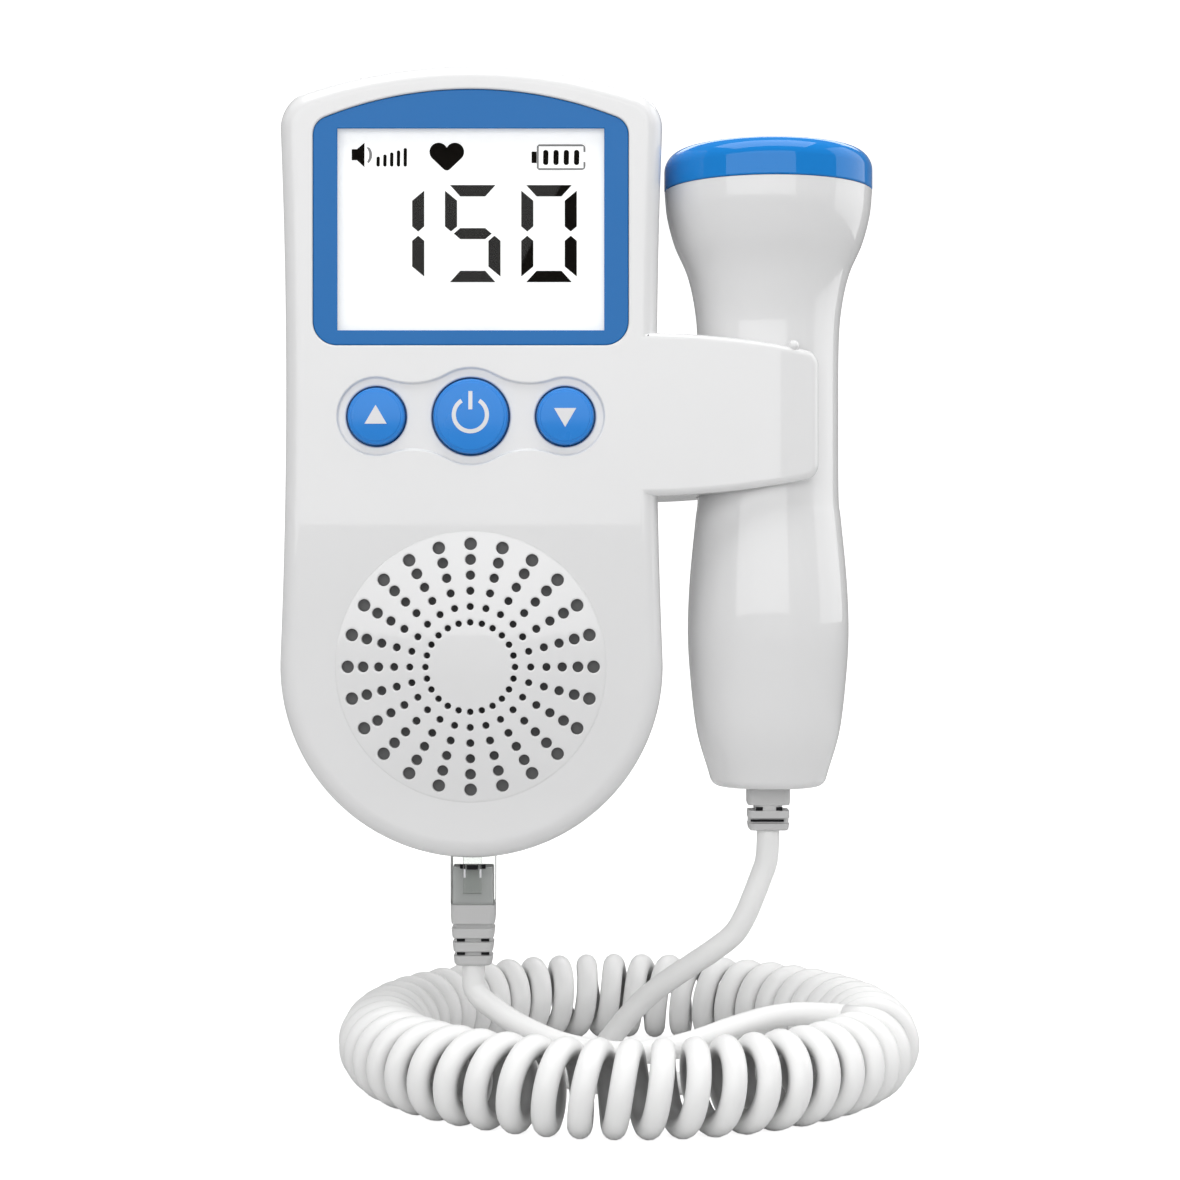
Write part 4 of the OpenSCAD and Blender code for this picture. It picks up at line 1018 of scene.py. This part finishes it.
def build_grille():
    """A shallow dome cut by spokes of round holes, each with a rounded rim."""
    middle_z, edge_r, sag, face_y, back_y = Housing().end_c[1], 23.0, 2.0, -34.0, -32.85
    dome_r = (edge_r**2 + sag**2) / (2 * sag)
    spokes, rows, first, step, side = 24, 6, 7.55, 2.65, 6
    half = 180 / spokes
    verts, faces, known = [], [], {}

    def point(at, sink=0.0):
        """The number of a point sunk into the dome's face, or at the back where sink is None."""
        x, z = at
        face = face_y - sag + dome_r - math.sqrt(dome_r**2 - x * x - z * z)
        y = back_y if sink is None else face + sink
        key = (round(x, 4), round(z, 4), round(y, 4))
        if key not in known:
            known[key] = len(verts)
            verts.append((x, y, middle_z + z))
        return known[key]

    def bands(rings):
        for a, b in zip(rings, rings[1:]):
            n = len(a)
            faces.extend((a[i], a[(i + 1) % n], b[(i + 1) % n], b[i]) for i in range(n))

    def cell(r, mid, hole_r):
        """A hole with its rounded rim, in a cell whose corners its neighbours share."""
        low, high, left, right = r - step / 2, r + step / 2, mid - half, mid + half
        corners = [(low, left), (low, right), (high, right), (high, left), (low, left)]
        rings = [[
            point(polar((0, 0), a[0] + (b[0] - a[0]) * i / side, a[1] + (b[1] - a[1]) * i / side))
            for a, b in zip(corners, corners[1:]) for i in range(side)
        ]]
        for grow, sink in ((0.32, 0), (0.13, 0.005), (0.04, 0.05), (0, 0.14), (0, None)):
            turn = [mid + 225 - 90 * i / side for i in range(4 * side)]
            middle = polar((0, 0), r, mid)
            rings.append([point(polar(middle, hole_r + grow, a), sink) for a in turn])
        bands(rings)

    for s in range(spokes):
        for k in range(rows):
            cell(first + step * k, 90 + 2 * half * s, (1.1 + 1.04 * (k / (rows - 1)) ** 1.5) / 2)
    turn = [90 - half + 2 * half * i / side for i in range(spokes * side)]

    def circles(*sizes):
        return [[point(polar((0, 0), r, a), sink) for a in turn] for r, sink in sizes]

    inner = circles((first - step / 2, 0), (4.6, 0), (3, 0), (1.5, 0))
    bands(inner)
    middle = point((0, 0))
    faces.extend((a, b, middle) for a, b in zip(inner[-1], inner[-1][1:] + inner[-1][:1]))
    bands(circles((first + step * (rows - 0.5), 0), (22.6, 0), (22.92, 0), (22.98, 0.03),
                  (edge_r, 0.1), (edge_r, None)))
    piece = mesh_of("grille_dome", verts, faces)
    piece.data.shade_smooth()
    piece.data.set_sharp_from_angle(angle=math.radians(60))
    place(piece, "main_unit", "shell_white", "shell", "speaker_grille")


# ---------- probe ----------


def probe_profile():
    """The handle's profile from bottom to top, as (radius, height)."""
    corner, corner_r, lean = (8.34, -54.4), 1.9, -15.8
    points = [(10.4, -54.1), (12.55, -46.5), (13.7, -36.8), (14.1, -29), (13.75, -20),
              (12.75, -9.5), (12.36, -5.5), (12.3, 7.9), (12.36, 20.4), (12.85, 27.2),
              (14.2, 33.4), (16.475, 38.7), (17.75, 43.5), (18.2, 47.9)]
    side = spline([Vector((r, h, 0)) for r, h in points], 8)
    return [
        (0, -56.3), *arc(corner, corner_r, -90, lean, 8), polar(corner, corner_r, lean),
        *((q.x, q.y) for q in side), (18.05, 48.03), (16.5, 48.05),
    ]


def probe_half(name, start):
    """Half of the handle, whose long edges are rounded into the seam."""
    seam = [(0.02, 1.6), (0.02, 0.22), (0.07, 0.07), (0.2, 0)]
    verts, rows, n = [], [], 72
    for r, z in probe_profile():
        spots = [(0, 0)]
        if r:
            edge = [(math.degrees(way / r), sink) for way, sink in seam]
            spots = edge + [(180 * i / n, 0) for i in range(3, n - 2)]
            spots += [(180 - a, sink) for a, sink in reversed(edge)]
        rows.append(range(len(verts), len(verts) + len(spots)))
        verts += [(*polar(PROBE, r - sink, start + a), z) for a, sink in spots]
    return mesh_of(name, verts, skin(rows, False))


def build_probe():
    for side, start in (("front", 180), ("rear", 0)):
        shell = smooth(probe_half(f"probe_shell_{side}", start), 40)
        place(shell, "probe", "shell_white", "shell", f"probe_{side}_shell")
    seam, shoulder, shoulder_r, lean, n = 48.1, (14.75, 51.5), 3.5, 10, 16
    profile = [(16.4, seam), (18.0, seam), (18.18, seam + 0.08), (18.25, seam + 0.28)]
    profile += [polar(shoulder, shoulder_r, 8 * i) for i in range(11)]
    rim, top = profile[-1]
    steep = math.cos(math.radians(lean))
    face_r = rim / math.sin(math.radians(lean))
    for i in range(1, n + 1):
        a = math.radians(lean * (1 - i / n))
        profile.append((face_r * math.sin(a), top + face_r * (math.cos(a) - steep)))
    cap = revolve("cap_dome", profile, 160, at=PROBE)
    place(smooth(cap, 50), "probe", "cap_blue", "cap", "probe_cap")
    build_tail()


def stack(name, at, sections):
    """Rounded rectangles, one above the other: (height, half width, half depth, corner)."""
    return loft(name, [[(at[0] + x, at[1] + y, z) for x, y in round_box(a, b, r)]
                       for z, a, b, r in sections])


def build_tail():
    x, y, top = *PROBE, -56.35
    sections = [(top, 3.7, 3.2, 1), (top - 2.85, 3.7, 3.2, 1), (top - 2.9, 3.6, 3.1, 1)]
    for z, dx, dy in ((-59.5, 1.3, 0.1), (-61.75, 0.1, 0.9)):
        sections += [(z, 3.6, 3.1, 1), (z - 0.08, 3.6 - dx, 3.1 - dy, 0.9),
                     (z - 0.9, 3.6 - dx, 3.1 - dy, 0.9), (z - 0.98, 3.58, 3.08, 1)]
    sections += [(TAIL_END + 0.25, 3.45, 2.95, 1), (TAIL_END, 3.2, 2.7, 0.9)]
    tail = stack("strain_relief_tail", PROBE, sections)
    place(smooth(tail, 30), "probe", "boot_grey", "boot", "probe_strain_relief")
    # painted shadow: thin dark blocks in the tail's grooves stand in for the shade in its slits
    slit_shadows = ((-1.75, 0.6, 3.02, -59.8, 0.6), (1.75, 0.55, 3.02, -59.8, 0.6),
             (-0.3, 2.9, 2.3, -62.05, 0.36))
    gather("tail_slits", "probe", "slit", [
        block((x + at - half, y + side * deep - 0.15, z - tall),
              (x + at + half, y + side * deep + 0.15, z))
        for at, half, deep, z, tall in slit_shadows for side in (-1, 1)
    ])


# ---------- plug ----------


def gather(name, body, look, pieces):
    """Puts small loose details into one piece."""
    bm = bmesh.new()
    for piece in pieces:
        bm.from_mesh(piece.data)
        bpy.data.objects.remove(piece)
    mesh = bpy.data.meshes.new(name)
    bm.to_mesh(mesh)
    bm.free()
    place(add_object(name, mesh), body, "boot_grey", look)


def build_plug():
    front, top, wide, deep = PLUG_Y - 3.1, -78.3, 3.85, 3.1
    body = stack("plug_shell", (0, PLUG_Y), [
        (-76.1, 3.7, 3.0, 0.35), (-75.95, wide, deep, 0.35), (-58.8, wide, deep, 0.35),
        (-58.6, 3.7, 2.95, 0.3),
    ])
    blades = [1.02 * (i - 1.5) for i in range(4)]
    combine(body, *(("DIFFERENCE", block((x - 0.22, PLUG_Y + 1.1, -64.1), (x + 0.22, -20, -58)))
                    for x in blades))
    soften(body, 0.08, lambda q: q.z < -66, 50, 2)
    place(smooth(body), "plug", "plug_clear", "plug", "plug_body")
    latch = loft("plug_latch", [
        [(-1.6, y, z), (1.6, y, z), (1.6, y + t, z), (-1.6, y + t, z)]
        for z, y, t in ((-59.2, front + 0.1, 0.4), (-60.6, front - 0.45, 0.9),
                        (-66, front - 0.95, 0.75), (-73, front - 1.45, 0.7),
                        (-74.1, front - 1.45, 0.7))
    ])
    soften(latch, 0.12, limit=40)
    place(smooth(latch), "plug", "plug_clear", "plug")
    core = block((-3.5, PLUG_Y - 2.4, -77), (3.5, PLUG_Y + 1.6, -69.6), "plug_core")
    soften(core, 0.25)
    place(core, "plug", "boot_grey", "core")
    grooves = [(z, wide + (z - top) * 0.07, deep + (z - top) * 0.065)
               for z in (-79.9, -82.35, -84.7)]
    # painted shadow: near-black bars stand in for the shade in the gaps beside the latch, and small
    # blocks for the shade in the boot's grooves
    bars = ((-2.2, -1.35, front - 0.12), (-0.95, 0.95, front - 1.36), (1.35, 2.2, front - 0.12))
    dark = [block((x0, y, -69.9), (x1, y + 0.4, -69.2)) for x0, x1, y in bars]
    dark += [
        block((x - 0.7, PLUG_Y - b + 0.5, z - 0.2), (x + 0.7, PLUG_Y - b + 0.9, z + 0.2))
        for z, a, b in grooves[1:] for x in (-2.1, 2.1)
    ]
    gather("plug_slits", "plug", "slit", dark)
    gather("plug_ticks", "plug", "icon", [
        block((x - 0.17, front - 1.46, -71.3), (x + 0.17, front - 1.1, -69.85))
        for x in (-1.33, 1.4)
    ])
    sections = [(-76.15, 3.7, 2.95, 0.9), (-76.3, wide, deep, 1), (top, wide, deep, 1)]
    for z, a, b in grooves:
        lip = [(0.47, a, b), (0.35, a - 0.1, b - 0.12), (0.32, a - 0.25, b - 0.8)]
        sections += [(z + up, p, q, 1) for up, p, q in lip]
        sections += [(z - up, p, q, 1) for up, p, q in reversed(lip)]
    sections += [(-86.4, 3.25, 2.55, 1.2), (BOOT_END, 2.95, 2.25, 1.1)]
    boot = smooth(stack("boot_sleeve", (0, PLUG_Y), sections))
    place(boot, "plug", "boot_grey", "boot", "plug_boot")


# ---------- pieces kept from the CAD, studio ----------

CAD_LOOKS = {
    "screen_lens": "window", "lcd_panel": "display", "lcd_backlight": "guide",
    "button_mat": "silicone", "key_switches": "black", "main_board": "board",
    "speaker_cloth": "cloth", "speaker_gasket": "foam", "speaker_driver": "driver",
    "battery_cells": "cell", "battery_contacts": "steel", "cord_socket": "black",
    "earphone_jack": "black", "housing_screws": "steel", "crystal_holder": "potting",
    "transducer_crystals": "crystal", "probe_board": "board", "plug_contacts": "gold",
}


def dress_cad():
    for node, look in CAD_LOOKS.items():
        dress(nodes[node], look)


def area_light(name, at, target, size, power):
    data = bpy.data.lights.new(name, "AREA")
    data.shape, data.size, data.size_y = "RECTANGLE", size[0] * MM, size[1] * MM
    data.energy = power
    lamp = add_object(name, data)
    lamp.location = Vector(at) * MM
    way = Vector(target) * MM - lamp.location
    lamp.rotation_euler = way.to_track_quat("-Z", "Y").to_euler()


# The left softbox is weak, so that the side wall isn't burnt out when it is seen from behind.
LEFT_SHARE = 0.22


def build_camera(scene, focal):
    data = bpy.data.cameras.new("camera")
    data.lens, data.sensor_width = focal, 36
    data.clip_start, data.clip_end = 0.01, 20
    camera = add_object("camera", data)
    camera.location = Vector((20.2, -431, -21.9)) * MM
    camera.rotation_euler = (math.radians(90), 0, 0)
    scene.camera = camera


def build_backdrop(colour, glow):
    """The floor, which turns up into the backdrop in a wide curve."""
    floor_z, bend_r, bend_y, steps, half_w = RING.z, 400, 500, 12, 1800
    side = [(-1500, floor_z)]
    for i in range(steps + 1):
        a = math.radians(90 * i / steps)
        side.append((bend_y + bend_r * math.sin(a), floor_z + bend_r * (1 - math.cos(a))))
    side.append((bend_y + bend_r, 1600))
    verts = [(x, y, z) for y, z in side for x in (-half_w, half_w)]
    faces = [(2 * i, 2 * i + 1, 2 * i + 3, 2 * i + 2) for i in range(len(side) - 1)]
    floor = mesh_of("backdrop", verts, faces)
    floor.data.shade_smooth()
    paper = material("Backdrop paper", colour, 0.9, 0.95, shade=0.01, emission_color=(1, 1, 1, 1))
    tree = paper.node_tree
    seen = add_node(tree, "LightPath").outputs["Is Camera Ray"]
    shader = tree.nodes["Principled BSDF"]
    tree.links.new(multiply(tree, seen, glow), shader.inputs["Emission Strength"])
    floor.data.materials.append(paper)


def build_studio():
    scene = bpy.context.scene
    p = scene.monitor_studio
    build_camera(scene, p.focal)
    build_backdrop(p.floor, p.glow)
    middle = (10, -20, -10)
    area_light("key", (-175, -640, 186), (-175, 0, 186), (1050, 360), p.key_power)
    area_light("left", (-430, 330, 30), middle, (420, 520), LEFT_SHARE * p.fill_power)
    area_light("right", (470, 60, 233), (10, -20, 233), (420, 520), p.fill_power)
    area_light("back", (60, 430, 390), middle, (560, 160), p.back_power)
    area_light("top", (20, -120, 430), middle, (520, 320), p.top_power)
    world = bpy.data.worlds.new("studio")
    scene.world = world
    world.use_nodes = True
    tree = world.node_tree
    sky = tree.nodes["Background"]
    sky.inputs["Color"].default_value = (1, 1, 1, 1)
    seen = add_node(tree, "LightPath").outputs["Is Camera Ray"]
    tree.links.new(ramp(tree, seen, to_min=p.sky, to_max=1), sky.inputs["Strength"])
    scene.view_settings.view_transform = "Standard"


# ---------- add-on ----------


class MONITOR_OT_studio(bpy.types.Operator):
    """Make the camera, lights, floor and backdrop"""

    bl_idname = "monitor.studio"
    bl_label = "Studio"

    def execute(self, context):
        build_studio()
        return {"FINISHED"}


class MONITOR_OT_cord(bpy.types.Operator):
    """Make the curly cord and its two leads"""

    bl_idname = "monitor.cord"
    bl_label = "Cord"

    def execute(self, context):
        build_cord()
        return {"FINISHED"}


class MONITOR_OT_housing(bpy.types.Operator):
    """Make the two shells with the probe's clip, and the battery door"""

    bl_idname = "monitor.housing"
    bl_label = "Housing"

    def execute(self, context):
        build_housing()
        return {"FINISHED"}


class MONITOR_OT_screen(bpy.types.Operator):
    """Make the blue frame and the signs on the display"""

    bl_idname = "monitor.screen"
    bl_label = "Screen"

    def execute(self, context):
        build_screen()
        return {"FINISHED"}


class MONITOR_OT_keys(bpy.types.Operator):
    """Make the three keys and their signs"""

    bl_idname = "monitor.keys"
    bl_label = "Keys"

    def execute(self, context):
        build_keys()
        return {"FINISHED"}


class MONITOR_OT_grille(bpy.types.Operator):
    """Make the loudspeaker's grille"""

    bl_idname = "monitor.grille"
    bl_label = "Grille"

    def execute(self, context):
        build_grille()
        return {"FINISHED"}


class MONITOR_OT_probe(bpy.types.Operator):
    """Make the probe's shells, cap and tail"""

    bl_idname = "monitor.probe"
    bl_label = "Probe"

    def execute(self, context):
        build_probe()
        return {"FINISHED"}


class MONITOR_OT_plug(bpy.types.Operator):
    """Make the modular plug and its boot"""

    bl_idname = "monitor.plug"
    bl_label = "Plug"

    def execute(self, context):
        build_plug()
        return {"FINISHED"}


class MONITOR_OT_inner(bpy.types.Operator):
    """Give the pieces kept from the CAD their materials"""

    bl_idname = "monitor.inner"
    bl_label = "Inner pieces"

    def execute(self, context):
        dress_cad()
        return {"FINISHED"}


OPERATORS = (
    MONITOR_OT_studio, MONITOR_OT_cord, MONITOR_OT_housing, MONITOR_OT_screen, MONITOR_OT_keys,
    MONITOR_OT_grille, MONITOR_OT_probe, MONITOR_OT_plug, MONITOR_OT_inner,
)


class MONITOR_PT_panel(bpy.types.Panel):
    """Lists the sizes, the colours and the pieces"""

    bl_idname = "MONITOR_PT_panel"
    bl_label = "Monitor"
    bl_space_type = "VIEW_3D"
    bl_region_type = "UI"
    bl_category = "Monitor"

    def draw(self, context):
        for group in (context.scene.monitor_housing, context.scene.monitor_cord,
                      context.scene.monitor_studio):
            box = self.layout.box()
            for key in group.__annotations__:
                box.prop(group, key)
        for operator in OPERATORS:
            self.layout.operator(operator.bl_idname)


GROUPS = (
    ("monitor_housing", MonitorHousing),
    ("monitor_cord", MonitorCord),
    ("monitor_studio", MonitorStudio),
)


def register():
    for name, group in GROUPS:
        bpy.utils.register_class(group)
        setattr(bpy.types.Scene, name, bpy.props.PointerProperty(type=group))
    for cls in (*OPERATORS, MONITOR_PT_panel):
        bpy.utils.register_class(cls)


def unregister():
    for cls in reversed((*OPERATORS, MONITOR_PT_panel)):
        bpy.utils.unregister_class(cls)
    for name, group in reversed(GROUPS):
        delattr(bpy.types.Scene, name)
        bpy.utils.unregister_class(group)


def main():
    register()
    for operator in OPERATORS:
        category, name = operator.bl_idname.split(".")
        getattr(getattr(bpy.ops, category), name)()


if __name__ == "__main__":
    main()
